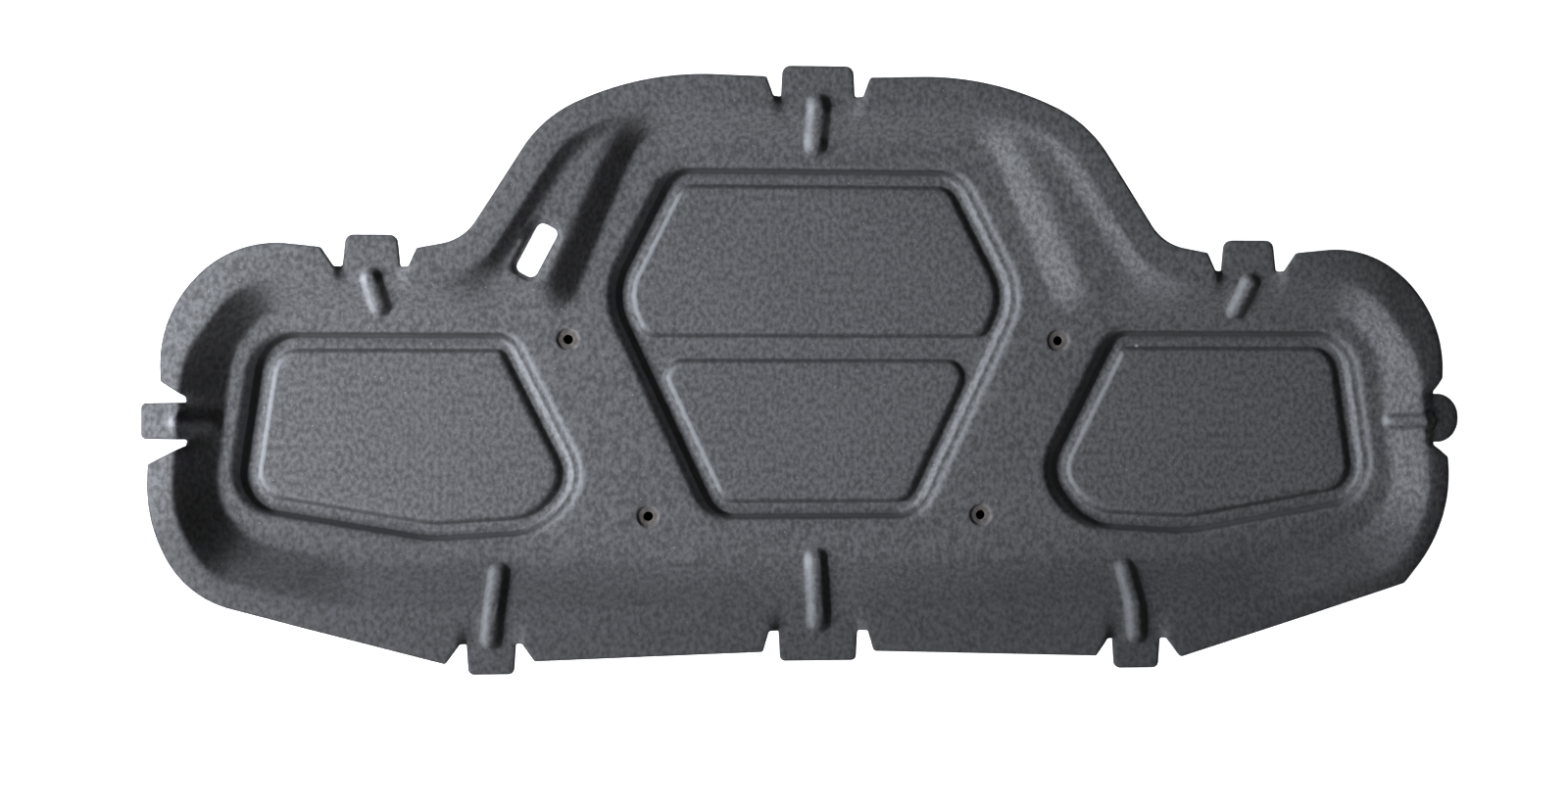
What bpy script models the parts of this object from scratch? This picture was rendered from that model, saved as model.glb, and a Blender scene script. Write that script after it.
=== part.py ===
"""Hood insulation pad: one press-moulded felt sheet with a trimmed edge.

The pad lies on its back with the engine side up. X runs along its length, Y towards its
crown, Z up. The origin is at the centre of its length and width, on the surface that it
rests on. All lengths are metres.

The whole pad is one sheet. Its plan is a trimmed outline with eight tabs, a slot and four
clip holes. Its relief is a tray with a flange round it, three sunk pockets in the tray
floor, and a raised bead running down from each tab.
"""

import math
from collections import namedtuple

import bmesh
import bpy
import numpy as np
from mathutils import Vector
from mathutils.geometry import delaunay_2d_cdt

NAME = "hood_pad"

# Overall size, tip of tab to tip of tab
HALF_LENGTH = 0.655
HALF_WIDTH = 0.299

# Sheet
THICKNESS = 0.0045
PRESSED_THICKNESS = 0.0025
STEEPEST_LEAN = 0.60

# Heights of the relief
TRAY_DEPTH = 0.030
SHELF_DROP = 0.011
SHELF_REACH = 0.035
POCKET_DEPTH = 0.010
PANEL_RISE = 0.0042
FLANGE_DROOP = 0.17
DROOP_FROM_X = 0.500
DROOP_RUN = 0.090

# Trimmed edge: where its sides stand, measured from the tips of the tabs
CROWN_EDGE_INSET = 0.012
CROWN_BOW = 0.004
END_EDGE_INSET = 0.017
FOOT_EDGE_INSET = 0.013

# Crown and shoulders of the trimmed edge
CROWN_BEND_X = 0.174
CROWN_BEND_RADIUS = 0.298
SHOULDER_TOP_X = 0.271
SHOULDER_TOP_FALL = 0.043
SHOULDER_TOP_RADIUS = 0.124
SHOULDER_FOOT_X = 0.3465
SHOULDER_FOOT_RADIUS = 0.050

# Wings: the two ends of the pad, either side of the crown
WING_EDGE_Y = 0.116
WING_RISE = 0.009
WING_BEND_INSET = 0.094
WING_BEND_RADIUS = 0.119
WING_CORNER_DROP = 0.060
WING_CORNER_RADIUS = 0.136

# Low corners of the trimmed edge, measured from the tips of the end and foot tabs
SHARP_SIDE_INSET = 0.007
SHARP_SIDE_RISE = 0.149
SHARP_SIDE_RADIUS = 0.180
SHARP_CORNER_INSET = 0.059
SHARP_CORNER_RISE = 0.083
SHARP_CORNER_RADIUS = 0.006
ROUND_SIDE_INSET = 0.0055
ROUND_SIDE_RISE = 0.150
ROUND_SIDE_RADIUS = 0.170
ROUND_CORNER_INSET = 0.0455
ROUND_CORNER_RISE = 0.077
ROUND_CORNER_RADIUS = 0.110

# Places of the tabs
WING_TAB_X = 0.4353
WING_TAB_REACH = 0.0135
FOOT_TAB_X = 0.320
FOOT_CENTRE_TAB_INSET = 0.0105
SQUARE_END_TAB_Y = -0.0515
ROUND_END_TAB_Y = -0.049

# Flange, measured inwards from the trimmed edge
CROWN_FLANGE = 0.034
WING_FLANGE = 0.030
END_FLANGE = 0.0275
FOOT_FLANGE = 0.049

# Slopes of the tray, measured inwards from the flange
CROWN_SLOPE = 0.0226
WING_SLOPE = 0.0307
END_SLOPE = 0.0269
FOOT_SLOPE = 0.0442

# Corners of the tray's mouth, measured from those of the trimmed edge and from its own sides
MOUTH_CROWN_SHIFT = 0.014
MOUTH_CROWN_RADIUS = 0.200
MOUTH_SHOULDER_INSET = 0.023
MOUTH_SHOULDER_LIFT = 0.0145
MOUTH_SHOULDER_RADIUS = 0.095
MOUTH_NECK_INSET = 0.0105
MOUTH_NECK_RADIUS = 0.080
MOUTH_BEND_INSET = 0.057
MOUTH_BEND_RADIUS = 0.070
MOUTH_END_DROP = 0.078
MOUTH_END_RADIUS = 0.100
MOUTH_BULGE = 0.010
MOUTH_BULGE_RISE = 0.097
MOUTH_BULGE_RADIUS = 0.110
MOUTH_LOW_INSET = 0.0255
MOUTH_LOW_RISE = 0.033
MOUTH_LOW_RADIUS = 0.060
MOUTH_FOOT_INSET = 0.1425
MOUTH_FOOT_RISE = 0.006
MOUTH_FOOT_RADIUS = 0.250
MOUTH_LEFT_REACH = 0.005

# Corners of the tray's floor, measured from its own sides
FLOOR_CROWN_SHIFT = 0.0026
FLOOR_CROWN_RADIUS = 0.025
FLOOR_NECK_X = 0.2456
FLOOR_NECK_RADIUS = 0.030
FLOOR_BEND_INSET = 0.031
FLOOR_BEND_RADIUS = 0.045
FLOOR_END_INSET = 0.004
FLOOR_END_DROP = 0.040
FLOOR_END_RADIUS = 0.060
FLOOR_BULGE = 0.012
FLOOR_BULGE_RISE = 0.0655
FLOOR_BULGE_RADIUS = 0.060
FLOOR_LOW_INSET = 0.023
FLOOR_LOW_RISE = 0.0235
FLOOR_LOW_RADIUS = 0.070
FLOOR_FOOT_INSET = 0.120
FLOOR_FOOT_RADIUS = 0.200
FLOOR_LEFT_INSET = 0.007

# The left end's corners of the mouth stand further out, and those of the floor further in. An
# end's corners are those past this distance from the middle.
END_CORNERS_FROM_X = 0.500

# Corners of a shelf, the level stretch part-way down a shoulder
BROAD_SLOPE_AT_TIP = 0.029
BROAD_SLOPE_AT_NECK = 0.024
SHELF_TIP_LIFT = 0.001
SHELF_TIP_RADIUS = 0.003
SHELF_SHOULDER_INSET = 0.0337
SHELF_SHOULDER_LIFT = 0.0059
SHELF_SHOULDER_RADIUS = 0.060
SHELF_FOOT_INSET = 0.0323
SHELF_FOOT_RISE = 0.0107
SHELF_FOOT_RADIUS = 0.012
SHELF_NECK_FALL = 0.0054
SHELF_NECK_RADIUS = 0.010

# Six-sided pocket in the middle, and the band across it
HEX_STRIP = 0.0279
HEX_TOP_HALF = 0.152
HEX_WAIST_Y = 0.0742
HEX_WAIST_HALF = 0.2165
HEX_WAIST_RADIUS = 0.075
HEX_FOOT_STRIP = 0.0406
HEX_FOOT_HALF = 0.111
HEX_CORNER_RADIUS = 0.041
BAND_TOP_Y = 0.0311
BAND_TOP_RADIUS = 0.018
BAND_FOOT_Y = 0.0107
BAND_FOOT_RADIUS = 0.020

# Pocket in each wing
POCKET_STRIP = 0.0138
POCKET_LAND = 0.0791
POCKET_TOP_RADIUS = 0.030
POCKET_NECK_LAND = 0.0055
POCKET_NECK_RISE = 0.0644
POCKET_NECK_RADIUS = 0.055
POCKET_LOW_LAND = 0.0456
POCKET_LOW_RISE = 0.0071
POCKET_LOW_RADIUS = 0.075
POCKET_FOOT_STRIP = 0.0237
POCKET_FOOT_LAND = 0.1647
POCKET_FOOT_RADIUS = 0.150
POCKET_BULGE = 0.0258
POCKET_BULGE_RISE = 0.0348
POCKET_END_STRIP = 0.0292
POCKET_END_RADIUS = 0.048
LEFT_POCKET_DROP = 0.004
PANEL_END_INSET = 0.001

# Section of the ring round a pocket, measured inwards from its lip: a wall, a ledge, a second
# wall, the groove's floor, and the step up to the panel. Sides that run nearly level, along X,
# have steeper and narrower walls than the rest.
UPPER_WALL = 0.0072
LEDGE = 0.0020
LOWER_WALL = 0.0060
GROOVE = 0.0053
PANEL_STEP = 0.0062
LEVEL_UPPER_WALL = 0.0032
LEVEL_LEDGE = 0.0006
LEVEL_LOWER_WALL = 0.0032
LEVEL_GROOVE = 0.0105
LEVEL_PANEL_STEP = 0.0036
LEVEL_LEAN = math.sin(math.radians(25))
LEDGE_DEPTH = 0.0038

# Clip holes
CLIP_HOLE_RADIUS = 0.0048
CLIP_SEAT_RADIUS = 0.0090
CLIP_DIMPLE_RADIUS = 0.0118
UPPER_CLIP_PAST_HEX = 0.0296
UPPER_CLIP_BELOW_SLOPE = 0.0263
LOWER_CLIP_PAST_HEX = 0.056
LOWER_CLIP_RISE = 0.0056

# Slot in the left shelf
SLOT_PAST_SHOULDER = 0.0705
SLOT_ABOVE_WING = 0.0298
SLOT_LENGTH = 0.0535
SLOT_WIDTH = 0.0215
SLOT_ANGLE = math.radians(62)
SLOT_CORNER = 0.007
SLOT_RIM = 0.0035
RIM_STEP = 0.0015

# Tabs and beads
TAB_RECESS = 0.005
CHANNEL_WALL = 0.008
CHANNEL_FADE = 0.026
NOTCH_ROUND = 0.0025
FLANGE_CORNER_ROUND = 0.003
BEAD_HEIGHT = 0.005
BEAD_CREST = 0.35
CENTRE_BEAD_HALF = 0.012
CROWN_BEAD_ON_FLANGE = 0.007
CROWN_BEAD_ON_FLOOR = 0.006
FOOT_BEAD_ON_FLANGE = 0.012
FOOT_BEAD_SHORT_OF_FLOOR = 0.003
WING_BEAD_HALF = 0.011
WING_BEAD_SHORT_OF_FLOOR = 0.006
WING_BEAD_LEAN = 0.006
SIDE_BEAD_HALF = 0.011
SIDE_BEAD_ON_FLANGE = 0.027
SIDE_BEAD_SHORT_OF_FLOOR = 0.009
SIDE_BEAD_LEAN = 0.0065
END_BEAD_HALF = 0.009
END_BEAD_ON_FLANGE = 0.009
END_BEAD_SHORT_OF_FLOOR = 0.007
END_BEAD_Y = -0.0525

# Fineness of the outlines
ARC_STEP = math.radians(20)
LONGEST_CHORD = 0.016
LONGEST_SIDE = 0.045
SMALLEST_RADIUS = 0.002
SHELF_GRID = 0.011
GRID_CLEARANCE = 0.004
MERGE = 1e-5

FELT_COLOUR = (0.105, 0.112, 0.120, 1.0)
FELT_ROUGHNESS = 0.95

Tab = namedtuple(
    "Tab",
    "tip out tip_half tip_radius root_half notch_depth notch_width before after",
)
Bead = namedtuple("Bead", "start end half_width")


class Loop:
    """A closed outline of straight sides and rounded corners, run anticlockwise.

    Each corner is (x, y, radius).
    """

    def __init__(self, corners):
        area = sum(
            a[0] * b[1] - b[0] * a[1]
            for a, b in zip(corners, corners[1:] + corners[:1])
        )
        self.corners = list(corners) if area > 0 else list(reversed(corners))
        self.arcs = []
        reaches = self.reaches()
        tangents = [self.round_corner(i, reach) for i, reach in enumerate(reaches)]
        ends = tangents[1:] + tangents[:1]
        self.sides = [(here[1], there[0]) for here, there in zip(tangents, ends)]

    def ways(self, i):
        """Corner i, the directions back and ahead from it, and how far its sides turn."""
        here = Vector(self.corners[i][:2])
        back = (Vector(self.corners[i - 1][:2]) - here).normalized()
        ahead = (Vector(self.corners[(i + 1) % len(self.corners)][:2]) - here).normalized()
        return here, back, ahead, math.pi - back.angle(ahead, 0.0)

    def reaches(self):
        """How far each round runs along its sides, kept within the sides' lengths."""
        wanted = []
        for i, corner in enumerate(self.corners):
            turn = self.ways(i)[3]
            wanted.append(corner[2] * math.tan(turn / 2) if turn > 1e-6 else 0.0)
        allowed = list(wanted)
        for i, corner in enumerate(self.corners):
            j = (i + 1) % len(self.corners)
            length = math.dist(corner[:2], self.corners[j][:2])
            share = min(1.0, length / max(wanted[i] + wanted[j], MERGE))
            allowed[i] = min(allowed[i], wanted[i] * share)
            allowed[j] = min(allowed[j], wanted[j] * share)
        return allowed

    def round_corner(self, i, reach):
        """Adds the arc of corner i, and returns the two points where it meets its sides."""
        here, back, ahead, turn = self.ways(i)
        if reach <= 0:
            return here, here
        radius = reach / math.tan(turn / 2)
        start = here + back * reach
        end = here + ahead * reach
        middle = (back + ahead).normalized()
        centre = here + middle * (radius / math.cos(turn / 2))
        convex = (-back).cross(ahead) > 0
        self.arcs.append((centre, radius, start, end, turn, convex))
        return start, end

    def inset(self, distance, level_distance):
        """The same outline moved inwards, by the second distance on its level sides."""
        count = len(self.corners)
        lines = []
        for i in range(count):
            a = Vector(self.corners[i][:2])
            b = Vector(self.corners[(i + 1) % count][:2])
            way = (b - a).normalized()
            inward = Vector((-way.y, way.x))
            far = level_distance if abs(way.y) < LEVEL_LEAN else distance
            lines.append((a + inward * far, way, inward, far))
        moved = []
        for i in range(count):
            p, way, _, before = lines[i - 1]
            q, other, inward, after = lines[i]
            lean = way.dot(inward)
            point = p + way * ((q - p).dot(inward) / lean) if abs(lean) > MERGE else q
            convex = way.cross(other) > 0
            change = -(before + after) / 2 if convex else (before + after) / 2
            radius = self.corners[i][2]
            if radius > 0:
                radius = max(radius + change, SMALLEST_RADIUS)
            moved.append((point.x, point.y, radius))
        return Loop(moved)

    def points(self):
        """Points along the outline, with rounds as short chords."""
        arcs = {tuple(arc[2]): arc for arc in self.arcs}
        found = []
        for (start, end), last in zip(self.sides, self.sides[-1:] + self.sides[:-1]):
            arc = arcs.get(tuple(last[1]))
            if arc:
                found += arc_points(arc)
            length = (end - start).length
            pieces = max(1, math.ceil(length / LONGEST_SIDE))
            found += [start.lerp(end, k / pieces) for k in range(pieces)]
        return clean(found)

    def depth(self, points):
        """How far each point lies inside the outline, below zero outside it."""
        best = np.full(len(points), np.inf)
        depth = np.zeros(len(points))
        for start, end in self.sides:
            span = np.array(end - start)
            length = span @ span
            if length < 1e-14:
                continue
            away = points - np.array(start)
            along = np.clip(away @ span / length, 0, 1)
            gap = np.linalg.norm(away - along[:, None] * span, axis=1)
            side = np.sign(span[0] * away[:, 1] - span[1] * away[:, 0])
            nearer = gap < best
            best = np.where(nearer, gap, best)
            depth = np.where(nearer, side * gap, depth)
        for centre, radius, start, end, turn, convex in self.arcs:
            away = points - np.array(centre)
            reach = np.linalg.norm(away, axis=1)
            middle = np.array(((start + end) / 2 - centre).normalized())
            facing = away @ middle >= reach * math.cos(turn / 2)
            gap = np.abs(reach - radius)
            inside = reach < radius if convex else reach > radius
            nearer = facing & (gap < best)
            best = np.where(nearer, gap, best)
            depth = np.where(nearer, np.where(inside, gap, -gap), depth)
        return depth


def arc_points(arc):
    """Points on an arc, from its start to just before its end."""
    centre, radius, start, end, turn, convex = arc
    pieces = max(2, math.ceil(turn / ARC_STEP), math.ceil(turn * radius / LONGEST_CHORD))
    first = math.atan2(start.y - centre.y, start.x - centre.x)
    sweep = turn if convex else -turn
    angles = [first + sweep * k / pieces for k in range(pieces)]
    return [centre + Vector((math.cos(a), math.sin(a))) * radius for a in angles]


def clean(points):
    """The points without neighbours that coincide."""
    kept = []
    for point in points:
        if not kept or (point - kept[-1]).length > MERGE * 10:
            kept.append(point)
    if (kept[0] - kept[-1]).length <= MERGE * 10:
        kept.pop()
    return kept


def mirrored(corners):
    """The corners of the other side, in the order that closes the outline."""
    return [(-x, y, radius) for x, y, radius in reversed(corners)]


def symmetric(half, left_reach=0.0):
    """A closed outline from the corners of its right half, crown to foot.

    The corners of the left end stand further out by the given reach.
    """
    left = mirrored([corner for corner in half if corner[0] > MERGE])
    moved = [(x - left_reach * (x < -END_CORNERS_FROM_X), y, radius) for x, y, radius in left]
    return Loop(half + moved)


CROWN_EDGE_Y = HALF_WIDTH - CROWN_EDGE_INSET
END_EDGE_X = HALF_LENGTH - END_EDGE_INSET

CROWN_TAB = Tab(
    tip=(0.0, HALF_WIDTH), out=(0, 1), tip_half=0.035, tip_radius=0.008,
    root_half=0.0365, notch_depth=0.0305, notch_width=0.008,
    before=(0.007, 0.0115), after=(0.007, 0.0115),
)
WING_TAB = Tab(
    tip=(WING_TAB_X, WING_EDGE_Y + WING_TAB_REACH), out=(0, 1), tip_half=0.0245, tip_radius=0.008,
    root_half=0.0277, notch_depth=0.031, notch_width=0.008,
    before=(0.008, 0.0130), after=(0.0125, 0.0125),
)
SQUARE_END_TAB = Tab(
    tip=(HALF_LENGTH, SQUARE_END_TAB_Y), out=(1, 0), tip_half=0.0175, tip_radius=0.005,
    root_half=0.018, notch_depth=0.043, notch_width=0.0055,
    before=(0.0145, 0.020), after=(0.018, 0.0075),
)
ROUND_END_TAB = Tab(
    tip=(HALF_LENGTH, ROUND_END_TAB_Y), out=(1, 0), tip_half=0.0245, tip_radius=0.0235,
    root_half=0.0245, notch_depth=0.028, notch_width=0.003,
    before=(0.013, 0.019), after=(0.012, 0.0135),
)
FOOT_TAB = Tab(
    tip=(FOOT_TAB_X, -HALF_WIDTH), out=(0, -1), tip_half=0.022, tip_radius=0.006,
    root_half=0.024, notch_depth=0.030, notch_width=0.006,
    before=(0.014, 0.011), after=(0.012, 0.013),
)
FOOT_CENTRE_TAB = Tab(
    tip=(0.0, FOOT_CENTRE_TAB_INSET - HALF_WIDTH), out=(0, -1), tip_half=0.0375, tip_radius=0.005,
    root_half=0.039, notch_depth=0.030, notch_width=0.010,
    before=(0.006, 0.0095), after=(0.006, 0.0095),
)


def tab_frame(tab):
    """A tab's tip, its outward direction and the clockwise direction along the edge."""
    out = Vector(tab.out)
    along = Vector((out.y, -out.x))
    return Vector(tab.tip), out, along


def tab_corners(tab):
    """The corners of a tab, its notches and the flange beside them, run clockwise."""
    tip, out, along = tab_frame(tab)
    notch = tab.root_half + tab.notch_width
    steps = [
        (-notch - tab.before[0], tab.before[1], FLANGE_CORNER_ROUND),
        (-notch, tab.notch_depth, NOTCH_ROUND),
        (-tab.root_half, tab.notch_depth, min(NOTCH_ROUND, tab.notch_width / 3)),
        (-tab.tip_half, 0.0, tab.tip_radius),
        (tab.tip_half, 0.0, tab.tip_radius),
        (tab.root_half, tab.notch_depth, min(NOTCH_ROUND, tab.notch_width / 3)),
        (notch, tab.notch_depth, NOTCH_ROUND),
        (notch + tab.after[0], tab.after[1], FLANGE_CORNER_ROUND),
    ]
    found = []
    for sideways, depth, radius in steps:
        point = tip + along * sideways - out * depth
        found.append((point.x, point.y, radius))
    return found


def edge_side(end_tab, low_corners):
    """The corners of the trimmed edge on the right, after the crown tab, run clockwise."""
    return (
        [
            (CROWN_BEND_X, CROWN_EDGE_Y + CROWN_BOW, CROWN_BEND_RADIUS),
            (SHOULDER_TOP_X, CROWN_EDGE_Y - SHOULDER_TOP_FALL, SHOULDER_TOP_RADIUS),
            (SHOULDER_FOOT_X, WING_EDGE_Y + WING_RISE, SHOULDER_FOOT_RADIUS),
        ]
        + tab_corners(WING_TAB)
        + [
            (HALF_LENGTH - WING_BEND_INSET, WING_EDGE_Y + WING_RISE, WING_BEND_RADIUS),
            (END_EDGE_X, WING_EDGE_Y - WING_CORNER_DROP, WING_CORNER_RADIUS),
        ]
        + tab_corners(end_tab)
        + low_corners
        + tab_corners(FOOT_TAB)
    )


def low_corner(corners):
    """A low corner of the trimmed edge, from its insets, rises and radii."""
    return [(HALF_LENGTH - inset, rise - HALF_WIDTH, radius) for inset, rise, radius in corners]


SHARP_LOW_CORNER = low_corner(
    [
        (SHARP_SIDE_INSET, SHARP_SIDE_RISE, SHARP_SIDE_RADIUS),
        (SHARP_CORNER_INSET, SHARP_CORNER_RISE, SHARP_CORNER_RADIUS),
    ]
)
ROUND_LOW_CORNER = low_corner(
    [
        (ROUND_SIDE_INSET, ROUND_SIDE_RISE, ROUND_SIDE_RADIUS),
        (ROUND_CORNER_INSET, ROUND_CORNER_RISE, ROUND_CORNER_RADIUS),
    ]
)


def trimmed_edge():
    """The whole outline. The left end has a square tab and the right end a round one."""
    right = edge_side(ROUND_END_TAB, SHARP_LOW_CORNER)
    left = mirrored(edge_side(SQUARE_END_TAB, ROUND_LOW_CORNER))
    return Loop(tab_corners(CROWN_TAB) + right + tab_corners(FOOT_CENTRE_TAB) + left)


CROWN_MOUTH_Y = CROWN_EDGE_Y - CROWN_FLANGE
WING_MOUTH_Y = WING_EDGE_Y - WING_FLANGE
END_MOUTH_X = END_EDGE_X - END_FLANGE
FOOT_MOUTH_Y = FOOT_EDGE_INSET + FOOT_FLANGE - HALF_WIDTH


def tray_mouth():
    """Where the flange ends and the tray's slopes begin."""
    shoulder_y = CROWN_MOUTH_Y - SHOULDER_TOP_FALL + MOUTH_SHOULDER_LIFT
    low_y = FOOT_MOUTH_Y + MOUTH_LOW_RISE
    foot_y = FOOT_MOUTH_Y + MOUTH_FOOT_RISE
    return symmetric(
        [
            (0.0, CROWN_MOUTH_Y, 0.0),
            (CROWN_BEND_X + MOUTH_CROWN_SHIFT, CROWN_MOUTH_Y, MOUTH_CROWN_RADIUS),
            (SHOULDER_TOP_X - MOUTH_SHOULDER_INSET, shoulder_y, MOUTH_SHOULDER_RADIUS),
            (SHOULDER_FOOT_X - MOUTH_NECK_INSET, WING_MOUTH_Y, MOUTH_NECK_RADIUS),
            (END_MOUTH_X - MOUTH_BEND_INSET, WING_MOUTH_Y, MOUTH_BEND_RADIUS),
            (END_MOUTH_X, WING_MOUTH_Y - MOUTH_END_DROP, MOUTH_END_RADIUS),
            (END_MOUTH_X + MOUTH_BULGE, FOOT_MOUTH_Y + MOUTH_BULGE_RISE, MOUTH_BULGE_RADIUS),
            (END_MOUTH_X - MOUTH_LOW_INSET, low_y, MOUTH_LOW_RADIUS),
            (END_MOUTH_X - MOUTH_FOOT_INSET, foot_y, MOUTH_FOOT_RADIUS),
            (0.0, FOOT_MOUTH_Y, 0.0),
        ],
        MOUTH_LEFT_REACH,
    )


CROWN_FLOOR_Y = CROWN_MOUTH_Y - CROWN_SLOPE
WING_FLOOR_Y = WING_MOUTH_Y - WING_SLOPE
END_FLOOR_X = END_MOUTH_X - END_SLOPE
FOOT_FLOOR_Y = FOOT_MOUTH_Y + FOOT_SLOPE


def tray_floor():
    """Where the tray's slopes meet its flat floor."""
    low_y = FOOT_FLOOR_Y + FLOOR_LOW_RISE
    return symmetric(
        [
            (0.0, CROWN_FLOOR_Y, 0.0),
            (CROWN_BEND_X + FLOOR_CROWN_SHIFT, CROWN_FLOOR_Y, FLOOR_CROWN_RADIUS),
            (FLOOR_NECK_X, WING_FLOOR_Y, FLOOR_NECK_RADIUS),
            (END_FLOOR_X - FLOOR_BEND_INSET, WING_FLOOR_Y, FLOOR_BEND_RADIUS),
            (END_FLOOR_X - FLOOR_END_INSET, WING_FLOOR_Y - FLOOR_END_DROP, FLOOR_END_RADIUS),
            (END_FLOOR_X + FLOOR_BULGE, FOOT_FLOOR_Y + FLOOR_BULGE_RISE, FLOOR_BULGE_RADIUS),
            (END_FLOOR_X - FLOOR_LOW_INSET, low_y, FLOOR_LOW_RADIUS),
            (END_FLOOR_X - FLOOR_FOOT_INSET, FOOT_FLOOR_Y, FLOOR_FOOT_RADIUS),
            (0.0, FOOT_FLOOR_Y, 0.0),
        ],
        -FLOOR_LEFT_INSET,
    )


def shelf(side):
    """The level stretch part-way down a shoulder. Side is 1 on the right, -1 on the left."""
    shoulder_y = CROWN_MOUTH_Y - SHOULDER_TOP_FALL + SHELF_SHOULDER_LIFT
    foot_y = WING_MOUTH_Y + SHELF_FOOT_RISE
    neck_y = WING_MOUTH_Y - SHELF_NECK_FALL
    corners = [
        (CROWN_BEND_X + BROAD_SLOPE_AT_TIP, CROWN_FLOOR_Y + SHELF_TIP_LIFT, SHELF_TIP_RADIUS),
        (SHOULDER_TOP_X - SHELF_SHOULDER_INSET, shoulder_y, SHELF_SHOULDER_RADIUS),
        (SHOULDER_FOOT_X - SHELF_FOOT_INSET, foot_y, SHELF_FOOT_RADIUS),
        (FLOOR_NECK_X + BROAD_SLOPE_AT_NECK, neck_y, SHELF_NECK_RADIUS),
    ]
    return Loop([(side * x, y, radius) for x, y, radius in corners])


HEX_TOP_Y = CROWN_FLOOR_Y - HEX_STRIP
HEX_FOOT_Y = FOOT_FLOOR_Y + HEX_FOOT_STRIP
RING_TO_PANEL = UPPER_WALL + LEDGE + LOWER_WALL + GROOVE
LEVEL_RING_TO_PANEL = LEVEL_UPPER_WALL + LEVEL_LEDGE + LEVEL_LOWER_WALL + LEVEL_GROOVE


def hex_lip():
    """The lip of the six-sided pocket in the middle."""
    return symmetric(
        [
            (HEX_TOP_HALF, HEX_TOP_Y, HEX_CORNER_RADIUS),
            (HEX_WAIST_HALF, HEX_WAIST_Y, HEX_WAIST_RADIUS),
            (HEX_FOOT_HALF, HEX_FOOT_Y, HEX_CORNER_RADIUS),
        ]
    )


def right_corners(loop):
    """The corners on the right of a symmetric outline, crown to foot."""
    return sorted([c for c in loop.corners if c[0] > 0], key=lambda c: -c[1])


def hex_panels():
    """The feet of the two panels inside the six-sided pocket, either side of its band."""
    inner = hex_lip().inset(RING_TO_PANEL, LEVEL_RING_TO_PANEL)
    top, waist, foot = right_corners(inner)
    spread = (waist[0] - foot[0]) / (waist[1] - foot[1])
    upper_half = foot[0] + (BAND_TOP_Y - foot[1]) * spread
    lower_half = foot[0] + (BAND_FOOT_Y - foot[1]) * spread
    upper = symmetric([top, waist, (upper_half, BAND_TOP_Y, BAND_TOP_RADIUS)])
    lower = symmetric([(lower_half, BAND_FOOT_Y, BAND_FOOT_RADIUS), foot])
    return [upper, lower]


POCKET_TOP_Y = WING_FLOOR_Y - POCKET_STRIP
POCKET_END_X = END_FLOOR_X - POCKET_END_STRIP
POCKET_FOOT_Y = FOOT_FLOOR_Y + POCKET_FOOT_STRIP


def pocket_outline(side, end_inset):
    """The outline of the pocket in one wing, with its end side moved inwards.

    Side is 1 on the right, -1 on the left.
    """
    drop = LEFT_POCKET_DROP if side < 0 else 0.0
    end_x = POCKET_END_X - end_inset
    neck_y = POCKET_FOOT_Y + POCKET_NECK_RISE
    low_y = POCKET_FOOT_Y + POCKET_LOW_RISE
    bulge_y = POCKET_FOOT_Y + POCKET_BULGE_RISE
    corners = [
        (HEX_WAIST_HALF + POCKET_LAND, POCKET_TOP_Y, POCKET_TOP_RADIUS),
        (HEX_WAIST_HALF + POCKET_NECK_LAND, neck_y, POCKET_NECK_RADIUS),
        (HEX_WAIST_HALF + POCKET_LOW_LAND, low_y, POCKET_LOW_RADIUS),
        (HEX_WAIST_HALF + POCKET_FOOT_LAND, POCKET_FOOT_Y, POCKET_FOOT_RADIUS),
        (end_x + POCKET_BULGE, bulge_y, POCKET_END_RADIUS),
        (end_x, POCKET_TOP_Y, POCKET_END_RADIUS),
    ]
    return Loop([(side * x, y - drop, radius) for x, y, radius in corners])


def pocket_panel(side):
    """The foot of the panel inside the pocket in one wing."""
    return pocket_outline(side, PANEL_END_INSET).inset(RING_TO_PANEL, LEVEL_RING_TO_PANEL)


def clip_places():
    """The centres of the four clip holes."""
    upper = (HEX_WAIST_HALF + UPPER_CLIP_PAST_HEX, WING_FLOOR_Y - UPPER_CLIP_BELOW_SLOPE)
    lower = (HEX_FOOT_HALF + LOWER_CLIP_PAST_HEX, HEX_FOOT_Y + LOWER_CLIP_RISE)
    return [(side * x, y) for x, y in (upper, lower) for side in (1, -1)]


def round_loop(centre, radius):
    """A round outline."""
    x, y = centre
    square = [(x + radius, y + radius), (x - radius, y + radius)]
    square += [(x - radius, y - radius), (x + radius, y - radius)]
    return Loop([(*corner, radius) for corner in square])


def turned_box(centre, along, half_length, half_width, radius):
    """A rounded rectangle with its length along the given direction."""
    across = Vector((-along.y, along.x))
    ends = [(1, 1), (-1, 1), (-1, -1), (1, -1)]
    corners = []
    for a, b in ends:
        corner = centre + along * (half_length * a) + across * (half_width * b)
        corners.append((corner.x, corner.y, radius))
    return Loop(corners)


def slot_loop(margin):
    """The slot, or an outline that far outside it."""
    along = Vector((math.cos(SLOT_ANGLE), math.sin(SLOT_ANGLE)))
    centre = Vector((-(SHOULDER_FOOT_X - SLOT_PAST_SHOULDER), WING_MOUTH_Y + SLOT_ABOVE_WING))
    return turned_box(
        centre, along, SLOT_LENGTH / 2 + margin, SLOT_WIDTH / 2 + margin, SLOT_CORNER + margin
    )


def both_sides(tab):
    """A tab and its mirror image."""
    return [tab, tab._replace(tip=(-tab.tip[0], tab.tip[1]), out=(-tab.out[0], tab.out[1]))]


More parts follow.
